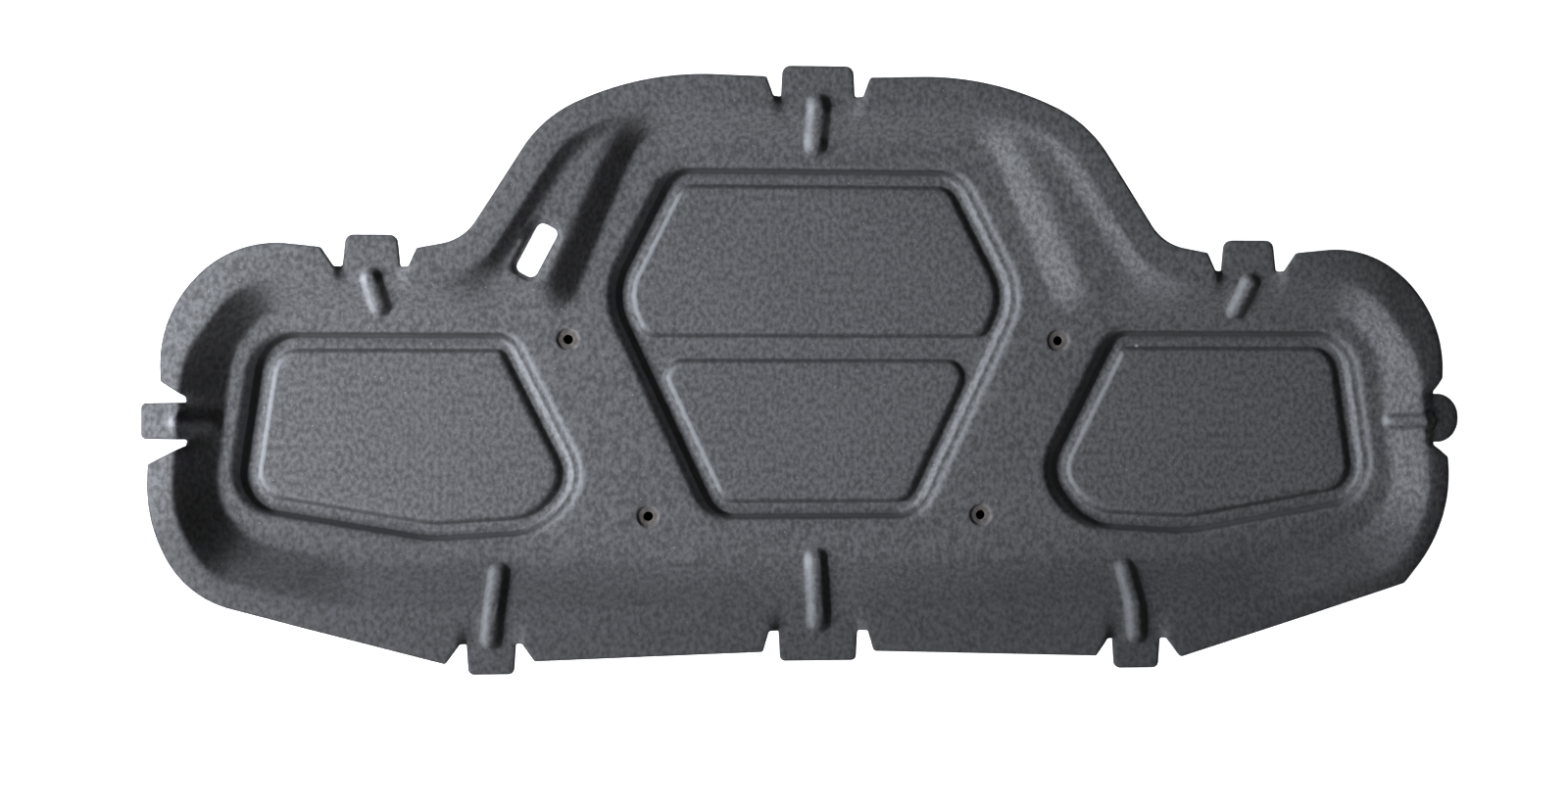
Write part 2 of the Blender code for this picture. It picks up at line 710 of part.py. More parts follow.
def tabs():
    """All eight tabs."""
    left_end = both_sides(SQUARE_END_TAB)[1]
    pairs = both_sides(WING_TAB) + both_sides(FOOT_TAB)
    return [CROWN_TAB, FOOT_CENTRE_TAB, ROUND_END_TAB, left_end] + pairs


def beads():
    """The raised bead that runs from each tab down towards the tray floor."""
    crown = Bead(
        start=(0.0, CROWN_MOUTH_Y + CROWN_BEAD_ON_FLANGE),
        end=(0.0, CROWN_FLOOR_Y - CROWN_BEAD_ON_FLOOR),
        half_width=CENTRE_BEAD_HALF,
    )
    foot_centre = Bead(
        start=(0.0, FOOT_MOUTH_Y - FOOT_BEAD_ON_FLANGE),
        end=(0.0, FOOT_FLOOR_Y + FOOT_BEAD_SHORT_OF_FLOOR),
        half_width=CENTRE_BEAD_HALF,
    )
    wing = Bead(
        start=(WING_TAB_X, WING_MOUTH_Y),
        end=(WING_TAB_X - WING_BEAD_LEAN, WING_FLOOR_Y + WING_BEAD_SHORT_OF_FLOOR),
        half_width=WING_BEAD_HALF,
    )
    foot = Bead(
        start=(FOOT_TAB_X, FOOT_MOUTH_Y - SIDE_BEAD_ON_FLANGE),
        end=(FOOT_TAB_X - SIDE_BEAD_LEAN, FOOT_FLOOR_Y - SIDE_BEAD_SHORT_OF_FLOOR),
        half_width=SIDE_BEAD_HALF,
    )
    end = Bead(
        start=(END_MOUTH_X + END_BEAD_ON_FLANGE, END_BEAD_Y),
        end=(END_FLOOR_X + END_BEAD_SHORT_OF_FLOOR, END_BEAD_Y),
        half_width=END_BEAD_HALF,
    )
    right = [wing, foot, end]
    left = [Bead((-b.start[0], b.start[1]), (-b.end[0], b.end[1]), b.half_width) for b in right]
    return [crown, foot_centre] + right + left


def bead_loop(bead, share):
    """A bead's outline at the given share of its width."""
    start, end = Vector(bead.start), Vector(bead.end)
    half = bead.half_width * share
    reach = (end - start).length / 2 + half
    return turned_box((start + end) / 2, (end - start).normalized(), reach, half, half)


def channel_lines(tab):
    """The creases of the recess that runs inwards from a tab."""
    tip, out, along = tab_frame(tab)
    deep = tab.notch_depth + CHANNEL_FADE
    lines = []
    for side in (1, -1):
        for half in (tab.root_half, tab.root_half + CHANNEL_WALL):
            near = tip + along * (side * half) - out * tab.notch_depth
            far = tip + along * (side * half) - out * deep
            lines.append([near, far])
    wide = tab.root_half + CHANNEL_WALL
    lines.append([tip - along * wide - out * deep, tip + along * wide - out * deep])
    return lines


def tab_fall(tab, points):
    """How far a tab's recess lowers each point."""
    tip, out, along = (np.array(v) for v in tab_frame(tab))
    away = points - tip
    sideways = np.abs(away @ along)
    inwards = -(away @ out)
    across = np.clip((tab.root_half + CHANNEL_WALL - sideways) / CHANNEL_WALL, 0, 1)
    down = np.clip((tab.notch_depth + CHANNEL_FADE - inwards) / CHANNEL_FADE, 0, 1)
    return TAB_RECESS * across * down


def bead_rise(bead, points):
    """How far a bead lifts each point."""
    start, end = np.array(bead.start), np.array(bead.end)
    span = end - start
    along = np.clip((points - start) @ span / (span @ span), 0, 1)
    gap = np.linalg.norm(points - start - along[:, None] * span, axis=1)
    flank = bead.half_width * (1 - BEAD_CREST)
    return BEAD_HEIGHT * np.clip((bead.half_width - gap) / flank, 0, 1)


def tray_fall(points):
    """How far the tray lies below the flange at each point."""
    mouth = tray_mouth().depth(points)
    floor = tray_floor().depth(points)
    shelves = [shelf(side).depth(points) for side in (1, -1)]
    pull_up = 1 / np.maximum(mouth, MERGE)
    pull_down = 1 / np.maximum(-floor, MERGE)
    total = pull_up + pull_down
    fall = pull_down * TRAY_DEPTH
    for depth in shelves:
        pull = np.maximum(1 / np.maximum(-depth, MERGE) - 1 / SHELF_REACH, 0)
        total = total + pull
        fall = fall + pull * SHELF_DROP
    fall = np.where(mouth <= MERGE, 0, fall / total)
    return np.where(floor >= -MERGE, TRAY_DEPTH, fall)


def flange_fall(points):
    """How far the outer edge of the end flanges hangs below the rest of the flange."""
    outside = np.maximum(-tray_mouth().depth(points), 0)
    near_end = np.clip((np.abs(points[:, 0]) - DROOP_FROM_X) / DROOP_RUN, 0, 1)
    return FLANGE_DROOP * outside * near_end


def between(outer, inner, points):
    """How far each point has gone from the outer outline, 0, to the inner one, 1."""
    gone = np.maximum(outer.depth(points), 0)
    left = np.maximum(-inner.depth(points), 0)
    return gone / np.maximum(gone + left, MERGE)


def ring_loops(lip):
    """The lip of a pocket, the two edges of its ledge, and the foot of its walls."""
    ledge = lip.inset(UPPER_WALL, LEVEL_UPPER_WALL)
    ledge_end = ledge.inset(LEDGE, LEVEL_LEDGE)
    return [lip, ledge, ledge_end, ledge_end.inset(LOWER_WALL, LEVEL_LOWER_WALL)]


def panel_top(panel):
    """The outline of a panel's flat top."""
    return panel.inset(PANEL_STEP, LEVEL_PANEL_STEP)


def pocket_fall(lip, panels, points):
    """How far a pocket lies below the tray floor at each point."""
    lip, ledge, ledge_end, foot = ring_loops(lip)
    fall = LEDGE_DEPTH * between(lip, ledge, points)
    fall = fall + (POCKET_DEPTH - LEDGE_DEPTH) * between(ledge_end, foot, points)
    for panel in panels:
        fall = fall - PANEL_RISE * between(panel, panel_top(panel), points)
    return fall


def pressed(points):
    """How much thinner the sheet is round the slot and the clip holes."""
    thinning = THICKNESS - PRESSED_THICKNESS
    outside_slot = -slot_loop(0).depth(points)
    total = np.interp(outside_slot, [SLOT_RIM, SLOT_RIM + RIM_STEP], [thinning, 0])
    for centre in clip_places():
        reach = np.linalg.norm(points - np.array(centre), axis=1)
        stations = [CLIP_SEAT_RADIUS, CLIP_DIMPLE_RADIUS]
        total = total + np.interp(reach, stations, [thinning, 0])
    return total


def pockets():
    """Each pocket's lip and the feet of the panels inside it."""
    found = [(hex_lip(), hex_panels())]
    for side in (1, -1):
        found.append((pocket_outline(side, 0.0), [pocket_panel(side)]))
    return found


def front_height(points):
    """The height of the engine side at each point, before the felt is pressed thinner."""
    height = np.full(len(points), THICKNESS + POCKET_DEPTH + TRAY_DEPTH)
    height = height - tray_fall(points) - flange_fall(points)
    for lip, panels in pockets():
        height = height - pocket_fall(lip, panels, points)
    for tab in tabs():
        height = height - tab_fall(tab, points)
    for bead in beads():
        height = height + bead_rise(bead, points)
    return height


def holes():
    """The outlines that go right through the sheet."""
    return [slot_loop(0)] + [round_loop(place, CLIP_HOLE_RADIUS) for place in clip_places()]


def creases():
    """Every closed outline along which the relief bends."""
    loops = [tray_mouth(), tray_floor(), shelf(1), shelf(-1)]
    for lip, panels in pockets():
        loops += ring_loops(lip)
        for panel in panels:
            loops += [panel, panel_top(panel)]
    loops += [slot_loop(SLOT_RIM), slot_loop(SLOT_RIM + RIM_STEP)]
    for place in clip_places():
        loops += [round_loop(place, CLIP_SEAT_RADIUS), round_loop(place, CLIP_DIMPLE_RADIUS)]
    for bead in beads():
        loops += [bead_loop(bead, 1), bead_loop(bead, BEAD_CREST)]
    return loops


def within(outline, places):
    """Whether each place lies inside an outline given as points."""
    inside = np.zeros(len(places), dtype=bool)
    x, y = places[:, 0], places[:, 1]
    for a, b in zip(outline, outline[1:] + outline[:1]):
        if a.y == b.y:
            continue
        spans = (a.y > y) != (b.y > y)
        inside ^= spans & (x < a.x + (y - a.y) * (b.x - a.x) / (b.y - a.y))
    return inside


def shelf_grid():
    """Points on the slopes round the shelves, where the relief curves between its creases."""
    across = np.arange(-HALF_LENGTH, HALF_LENGTH, SHELF_GRID)
    along = np.arange(-HALF_WIDTH, HALF_WIDTH, SHELF_GRID)
    grid = np.stack(np.meshgrid(across, along), axis=-1).reshape(-1, 2)
    nearest = np.full(len(grid), np.inf)
    for side in (1, -1):
        nearest = np.minimum(nearest, -shelf(side).depth(grid))
    kept = (nearest > GRID_CLEARANCE) & (nearest < SHELF_REACH)
    kept &= tray_mouth().depth(grid) > GRID_CLEARANCE
    kept &= tray_floor().depth(grid) < -GRID_CLEARANCE
    return [Vector(place) for place in grid[kept]]


def plan():
    """The sheet's plan as triangles whose edges follow every crease."""
    outer = trimmed_edge().points()
    cut = [loop.points() for loop in holes()]
    lines = [outer] + cut + [loop.points() for loop in creases()]
    points, edges = [], []
    for line in lines:
        first, count = len(points), len(line)
        points += line
        edges += [(first + k, first + (k + 1) % count) for k in range(count)]
    for tab in tabs():
        for line in channel_lines(tab):
            edges.append((len(points), len(points) + 1))
            points += line
    points += shelf_grid()
    points, _, faces, *_ = delaunay_2d_cdt(points, edges, [], 0, MERGE)
    places = np.array([(p.x, p.y) for p in points])
    centres = np.array([places[list(face)].mean(axis=0) for face in faces])
    kept = within(outer, centres)
    for hole in cut:
        kept &= ~within(hole, centres)
    return places, [face for face, keep in zip(faces, kept) if keep]


def sheet_mesh():
    """The pad's mesh: the plan lifted to its relief, with the sheet's thickness below it."""
    places, faces = plan()
    mesh = bpy.data.meshes.new(NAME)
    mesh.from_pydata([(x, y, z) for (x, y), z in zip(places, front_height(places))], [], faces)
    bm = bmesh.new()
    bm.from_mesh(mesh)
    loose = [vert for vert in bm.verts if not vert.link_faces]
    bmesh.ops.delete(bm, geom=loose, context="VERTS")
    bm.normal_update()
    front = list(bm.verts)
    thickness = {v.co.to_2d().freeze(): THICKNESS / max(v.normal.z, STEEPEST_LEAN) for v in front}
    made = bmesh.ops.extrude_face_region(bm, geom=list(bm.faces))["geom"]
    back = [item for item in made if isinstance(item, bmesh.types.BMVert)]
    for vert in back:
        vert.co.z = max(vert.co.z - thickness[vert.co.to_2d().freeze()], 0.0)
    spots = np.array([vert.co.to_2d() for vert in front])
    for vert, thinning in zip(front, pressed(spots)):
        vert.co.z -= thinning
    bmesh.ops.recalc_face_normals(bm, faces=bm.faces)
    bm.to_mesh(mesh)
    bm.free()
    return mesh


def felt():
    """The pad's charcoal felt."""
    material = bpy.data.materials.new("charcoal_felt")
    material.use_nodes = True
    shader = material.node_tree.nodes["Principled BSDF"]
    shader.inputs["Base Color"].default_value = FELT_COLOUR
    shader.inputs["Roughness"].default_value = FELT_ROUGHNESS
    shader.inputs["Metallic"].default_value = 0.0
    return material


def main():
    """Builds the pad in its own collection."""
    for old in list(bpy.data.objects):
        bpy.data.objects.remove(old)
    collection = bpy.data.collections.new("hood_insulation_pad")
    bpy.context.scene.collection.children.link(collection)
    pad = bpy.data.objects.new(NAME, sheet_mesh())
    pad.data.materials.append(felt())
    collection.objects.link(pad)
    return pad


if __name__ == "__main__":
    main()
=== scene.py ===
"""Looks of the hood insulation pad: one moulded sheet of charcoal felt, seen as it lies.

X runs along the pad's length, Y towards its crown and Z up. All lengths are metres.
"""

import logging
import math
from abc import ABC, abstractmethod
from dataclasses import dataclass, field, replace
from enum import Enum
from typing import NamedTuple, Sequence

import bmesh
import bpy
import numpy as np
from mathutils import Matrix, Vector, noise
from mathutils.geometry import delaunay_2d_cdt
from mathutils.kdtree import KDTree


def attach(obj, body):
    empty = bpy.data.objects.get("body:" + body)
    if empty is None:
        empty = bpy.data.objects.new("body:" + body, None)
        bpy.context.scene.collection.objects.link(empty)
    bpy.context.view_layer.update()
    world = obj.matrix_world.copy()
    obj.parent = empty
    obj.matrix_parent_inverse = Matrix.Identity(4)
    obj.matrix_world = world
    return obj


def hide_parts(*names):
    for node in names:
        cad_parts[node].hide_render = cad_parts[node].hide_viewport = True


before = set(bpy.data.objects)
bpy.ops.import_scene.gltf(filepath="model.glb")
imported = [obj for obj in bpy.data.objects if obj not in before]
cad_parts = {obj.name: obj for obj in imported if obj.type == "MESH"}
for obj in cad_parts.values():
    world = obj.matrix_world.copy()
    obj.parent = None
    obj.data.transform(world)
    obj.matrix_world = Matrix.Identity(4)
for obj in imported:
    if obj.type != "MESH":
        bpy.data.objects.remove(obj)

log = logging.getLogger("hood_pad")

CAD_NODE = "hood_pad"
BODY = "root"
# Mesh attribute: painted light and shade in the pockets and by the beads, and the darker cut edge.
TONE = "tone"
TINY = 1e-6
LEFT_END_FROM = 0.5
LEVEL_LEAN = math.sin(math.radians(25))
LEAST_RADIUS = 0.0015
ARC_STEP = 0.30
FACING_STEP = 0.0005
FACING_POWER = 1.5
LINE_GAIN = 1.8
AIM = (0.0, 0.0, 0.02)
KEY_PLACE = (-2.255, 0.0, 0.841)
LOW_PLACE = (-1.835, -1.06, 1.147)

Profile = tuple[tuple[float, ...], tuple[float, ...]]


class Side(Enum):
    """The two ends of the pad, by the sign of X."""

    LEFT = -1
    RIGHT = 1


class Corner(NamedTuple):
    """A corner of an outline, and the radius that rounds it."""

    x: float
    y: float
    radius: float = 0.0


class Arc(NamedTuple):
    """The round at one corner of an outline."""

    centre: Vector
    radius: float
    start: Vector
    end: Vector
    turn: float
    convex: bool


class Outline:
    """A closed outline of straight sides and rounded corners, run anticlockwise."""

    def __init__(self, corners: Sequence[Corner]) -> None:
        """Rounds the corners and finds the sides between them.

        Args:
            corners: The corners in order, either way round.
        """
        following = [*corners[1:], corners[0]]
        area = sum(a.x * b.y - b.x * a.y for a, b in zip(corners, following))
        self.corners = list(corners) if area > 0 else list(reversed(corners))
        self.arcs: list[Arc] = []
        tangents = [self._round(i, reach) for i, reach in enumerate(self._reaches())]
        ends = tangents[1:] + tangents[:1]
        self.sides = [(here[1], there[0]) for here, there in zip(tangents, ends)]

    def _ways(self, i: int) -> tuple[Vector, Vector, Vector, float]:
        """Finds the directions back and ahead from a corner, and how far its sides turn.

        Args:
            i: The corner's number.

        Returns:
            The corner, both directions, and the turn in radians.
        """
        here = Vector(self.corners[i][:2])
        back = (Vector(self.corners[i - 1][:2]) - here).normalized()
        ahead = (Vector(self.corners[(i + 1) % len(self.corners)][:2]) - here).normalized()
        return here, back, ahead, math.pi - back.angle(ahead, 0.0)

    def _reaches(self) -> list[float]:
        """How far each round runs along its sides, kept within the sides' lengths.

        Returns:
            The distance for each corner.
        """
        wanted = []
        for i, corner in enumerate(self.corners):
            turn = self._ways(i)[3]
            wanted.append(corner.radius * math.tan(turn / 2) if turn > TINY else 0.0)
        allowed = list(wanted)
        for i, corner in enumerate(self.corners):
            j = (i + 1) % len(self.corners)
            length = math.dist(corner[:2], self.corners[j][:2])
            share = min(1.0, length / max(wanted[i] + wanted[j], TINY))
            allowed[i] = min(allowed[i], wanted[i] * share)
            allowed[j] = min(allowed[j], wanted[j] * share)
        return allowed

    def _round(self, i: int, reach: float) -> tuple[Vector, Vector]:
        """Adds the arc of one corner.

        Args:
            i: The corner's number.
            reach: How far the round runs along its sides.

        Returns:
            The two points where the arc meets its sides.
        """
        here, back, ahead, turn = self._ways(i)
        if reach <= TINY:
            return here, here
        radius = reach / math.tan(turn / 2)
        start, end = here + back * reach, here + ahead * reach
        centre = here + (back + ahead).normalized() * (radius / math.cos(turn / 2))
        convex = (-back).cross(ahead) > 0
        self.arcs.append(Arc(centre, radius, start, end, turn, convex))
        return start, end

    def inset(self, steep: float, level: float | None = None) -> "Outline":
        """The same outline moved inwards, or outwards where the distance is below zero.

        Args:
            steep: The distance for every side, or only for those that run up the pad.
            level: The distance for the sides that run nearly along the pad.

        Returns:
            The moved outline.
        """
        level = steep if level is None else level
        lines = []
        for here, there in zip(self.corners, [*self.corners[1:], self.corners[0]]):
            start = Vector(here[:2])
            way = (Vector(there[:2]) - start).normalized()
            inward = Vector((-way.y, way.x))
            far = level if abs(way.y) < LEVEL_LEAN else steep
            lines.append((start + inward * far, way, inward, far))
        moved = []
        for i, corner in enumerate(self.corners):
            p, way, _, before = lines[i - 1]
            q, other, inward, after = lines[i]
            lean = way.dot(inward)
            point = p + way * ((q - p).dot(inward) / lean) if abs(lean) > TINY else q
            change = (before + after) / 2 * (-1 if way.cross(other) > 0 else 1)
            radius = max(corner.radius + change, LEAST_RADIUS) if corner.radius > 0 else 0.0
            moved.append(Corner(point.x, point.y, radius))
        return Outline(moved)

    def points(self, chord: float) -> list[Vector]:
        """Points along the outline, about a chord apart and closer on tight rounds.

        Args:
            chord: The distance between points on straight sides.

        Returns:
            The points, in order.
        """
        arcs = {tuple(arc.start): arc for arc in self.arcs}
        found: list[Vector] = []
        for (start, end), last in zip(self.sides, self.sides[-1:] + self.sides[:-1]):
            arc = arcs.get(tuple(last[1]))
            if arc:
                found += self._along(arc, chord)
            pieces = max(1, round((end - start).length / chord))
            found += [start.lerp(end, k / pieces) for k in range(pieces)]
        kept: list[Vector] = []
        least = chord / 20
        for point in found:
            if not kept or (point - kept[-1]).length > least:
                kept.append(point)
        if (kept[0] - kept[-1]).length <= least:
            kept.pop()
        return kept

    @staticmethod
    def _along(arc: Arc, chord: float) -> list[Vector]:
        """Points on an arc, from its start to just before its end.

        Args:
            arc: The arc.
            chord: The greatest distance between points.

        Returns:
            The points, in order.
        """
        pieces = max(2, math.ceil(arc.turn * arc.radius / chord), math.ceil(arc.turn / ARC_STEP))
        first = math.atan2(arc.start.y - arc.centre.y, arc.start.x - arc.centre.x)
        sweep = arc.turn if arc.convex else -arc.turn
        angles = [first + sweep * k / pieces for k in range(pieces)]
        return [arc.centre + Vector((math.cos(a), math.sin(a))) * arc.radius for a in angles]

    def depth(self, points: np.ndarray) -> np.ndarray:
        """How far each point lies inside the outline, below zero outside it.

        Args:
            points: Places on the plan.

        Returns:
            The depth of each.
        """
        best = np.full(len(points), np.inf)
        depth = np.zeros(len(points))
        for start, end in self.sides:
            span = np.array(end - start)
            length = span @ span
            if length < TINY * TINY:
                continue
            away = points - np.array(start)
            along = np.clip(away @ span / length, 0, 1)
            gap = np.linalg.norm(away - along[:, None] * span, axis=1)
            side = np.sign(span[0] * away[:, 1] - span[1] * away[:, 0])
            nearer = gap < best
            best = np.where(nearer, gap, best)
            depth = np.where(nearer, side * gap, depth)
        for arc in self.arcs:
            away = points - np.array(arc.centre)
            reach = np.linalg.norm(away, axis=1)
            middle = np.array(((arc.start + arc.end) / 2 - arc.centre).normalized())
            facing = away @ middle >= reach * math.cos(arc.turn / 2)
            gap = np.abs(reach - arc.radius)
            inside = reach < arc.radius if arc.convex else reach > arc.radius
            nearer = facing & (gap < best)
            best = np.where(nearer, gap, best)
            depth = np.where(nearer, np.where(inside, gap, -gap), depth)
        return depth


def mirrored(corners: Sequence[Corner]) -> list[Corner]:
    """The corners of the other side, in the order that closes the outline."""
    return [corner._replace(x=-corner.x) for corner in reversed(corners)]


def symmetric(right: Sequence[Corner], left_reach: float = 0.0) -> Outline:
    """A closed outline from the corners of its right half, crown to foot.

    Args:
        right: The corners of the right half.
        left_reach: How much further out the corners near the left end stand.

    Returns:
        The outline.
    """
    left = mirrored([corner for corner in right if corner.x > TINY])
    return Outline([*right, *stretched(left, left_reach)])


def stretched(corners: Sequence[Corner], reach: float) -> list[Corner]:
    """The corners, with those near the left end moved out by the reach."""
    return [c._replace(x=c.x - reach) if c.x < -LEFT_END_FROM else c for c in corners]


def bend(x: np.ndarray, rounding: float) -> np.ndarray:
    """0 before a bend and the distance past it after, rounded that far to both sides of it."""
    inside = np.clip(x, -rounding, rounding) + rounding
    return inside**2 / (4 * rounding) + np.maximum(x - rounding, 0)


def eased(
    gone: np.ndarray, left: np.ndarray, first: float, last: float | None = None
) -> np.ndarray:
    """A slope from 0 to 1 whose two bends are rounded.

    Args:
        gone: How far each point lies past the slope's first bend.
        left: How far it still has to go to the second one.
        first: How far the first bend's round reaches to both sides of it.
        last: The same for the second bend, where it differs.

    Returns:
        The share of the slope that lies behind each point.
    """
    last = first if last is None else last
    risen = bend(gone, first) - bend(-left, last)
    return np.clip(risen / np.maximum(gone + left, TINY), 0, 1)


def slope(
    outer: Outline, inner: Outline, points: np.ndarray, first: float, last: float | None = None
) -> np.ndarray:
    """How far each point has gone down the slope between two outlines, from 0 to 1."""
    return eased(outer.depth(points), -inner.depth(points), first, last)


class Feature(ABC):
    """A form pressed into the sheet."""

    @abstractmethod
    def fall(self, points: np.ndarray) -> np.ndarray:
        """How far the form lowers the sheet's front at each point."""

    @abstractmethod
    def creases(self) -> list[Outline]:
        """The outlines along which the form bends the sheet."""


def facings(outline: Outline, points: np.ndarray) -> list[np.ndarray]:
    """How the nearest side of an outline faces, seen inwards.

    Args:
        outline: The outline.
        points: Places on the plan.

    Returns:
        The shares, from 0 to 1, that face right, that face left and that face up or down.
    """
    step = np.array((FACING_STEP, 0.0))
    ahead, behind = outline.depth(points + step), outline.depth(points - step)
    across = np.clip((ahead - behind) / (2 * FACING_STEP), -1, 1)
    sides = [np.clip(across, 0, 1), np.clip(-across, 0, 1)]
    return [side**FACING_POWER for side in sides] + [(1 - across**2) ** 2]


def near_line(line: Outline, half: float, points: np.ndarray) -> np.ndarray:
    """How near each point is to a line, from 0 to 1, and 1 on the middle four ninths."""
    return np.clip(LINE_GAIN - LINE_GAIN * np.abs(line.depth(points)) / half, 0, 1)


def both_edges(outline: Outline, reach: float) -> list[Outline]:
    """An outline, and the two outlines where its rounded bend begins and ends."""
    return [outline.inset(-reach), outline, outline.inset(reach)]


@dataclass
class Tray(Feature):
    """The big tray inside the flange, with a level shelf part-way down each shoulder."""

    depth: float = 0.030
    rounding: float = 0.0030
    shelf_drop: float = 0.011
    shelf_reach: float = 0.035
    mouth_half: tuple[Corner, ...] = (
        Corner(0.0, 0.2530),
        Corner(0.1880, 0.2530, 0.200),
        Corner(0.2480, 0.2245, 0.095),
        Corner(0.3360, 0.0860, 0.080),
        Corner(0.5535, 0.0860, 0.070),
        Corner(0.6105, 0.0080, 0.100),
        Corner(0.6205, -0.1400, 0.110),
        Corner(0.5850, -0.2040, 0.060),
        Corner(0.4680, -0.2310, 0.250),
        Corner(0.0, -0.2370),
    )
    floor_half: tuple[Corner, ...] = (
        Corner(0.0, 0.2304),
        Corner(0.1766, 0.2304, 0.025),
        Corner(0.2456, 0.0553, 0.030),
        Corner(0.5526, 0.0553, 0.045),
        Corner(0.5796, 0.0153, 0.060),
        Corner(0.5956, -0.1273, 0.060),
        Corner(0.5606, -0.1693, 0.070),
        Corner(0.4636, -0.1928, 0.200),
        Corner(0.0, -0.1928),
    )
    mouth_left_reach: float = 0.0050
    floor_left_reach: float = -0.0070
    shelf_corners: tuple[Corner, ...] = (
        Corner(0.2030, 0.2314, 0.003),
        Corner(0.2373, 0.2159, 0.060),
        Corner(0.3142, 0.0967, 0.012),
        Corner(0.2696, 0.0806, 0.010),
    )

    @property
    def mouth(self) -> Outline:
        """Where the flange ends and the slopes begin."""
        return symmetric(self.mouth_half, self.mouth_left_reach)

    @property
    def floor(self) -> Outline:
        """Where the slopes meet the level floor."""
        return symmetric(self.floor_half, self.floor_left_reach)

    def shelf(self, side: Side) -> Outline:
        """The level stretch on one shoulder."""
        return Outline([c._replace(x=c.x * side.value) for c in self.shelf_corners])

    def creases(self) -> list[Outline]:
        """The mouth, the floor and the two shelves, with their rounds."""
        found = both_edges(self.mouth, self.rounding) + both_edges(self.floor, self.rounding)
        return found + [self.shelf(side) for side in Side]

    def fall(self, points: np.ndarray) -> np.ndarray:
        """How far the tray lowers the sheet.

        Args:
            points: Places on the plan.

        Returns:
            The depth at each: slopes between mouth, floor and shelves.
        """
        gone, left = self.mouth.depth(points), -self.floor.depth(points)
        share = eased(gone, left, self.rounding)
        pull_up = (1 - share) / self.rounding
        pull_down = share / self.rounding
        width = np.maximum(gone + left, self.rounding)
        nearness = width * self.rounding / np.maximum(gone * left, TINY)
        total, fall = pull_up + pull_down, pull_down * self.depth
        for side in Side:
            away = np.maximum(-self.shelf(side).depth(points), self.rounding / 3)
            pull = np.maximum(1 / away - 1 / self.shelf_reach, 0) / nearness
            pull = np.where((gone > 0) & (left > 0), pull, 0)
            total, fall = total + pull, fall + pull * self.shelf_drop
        return fall / total


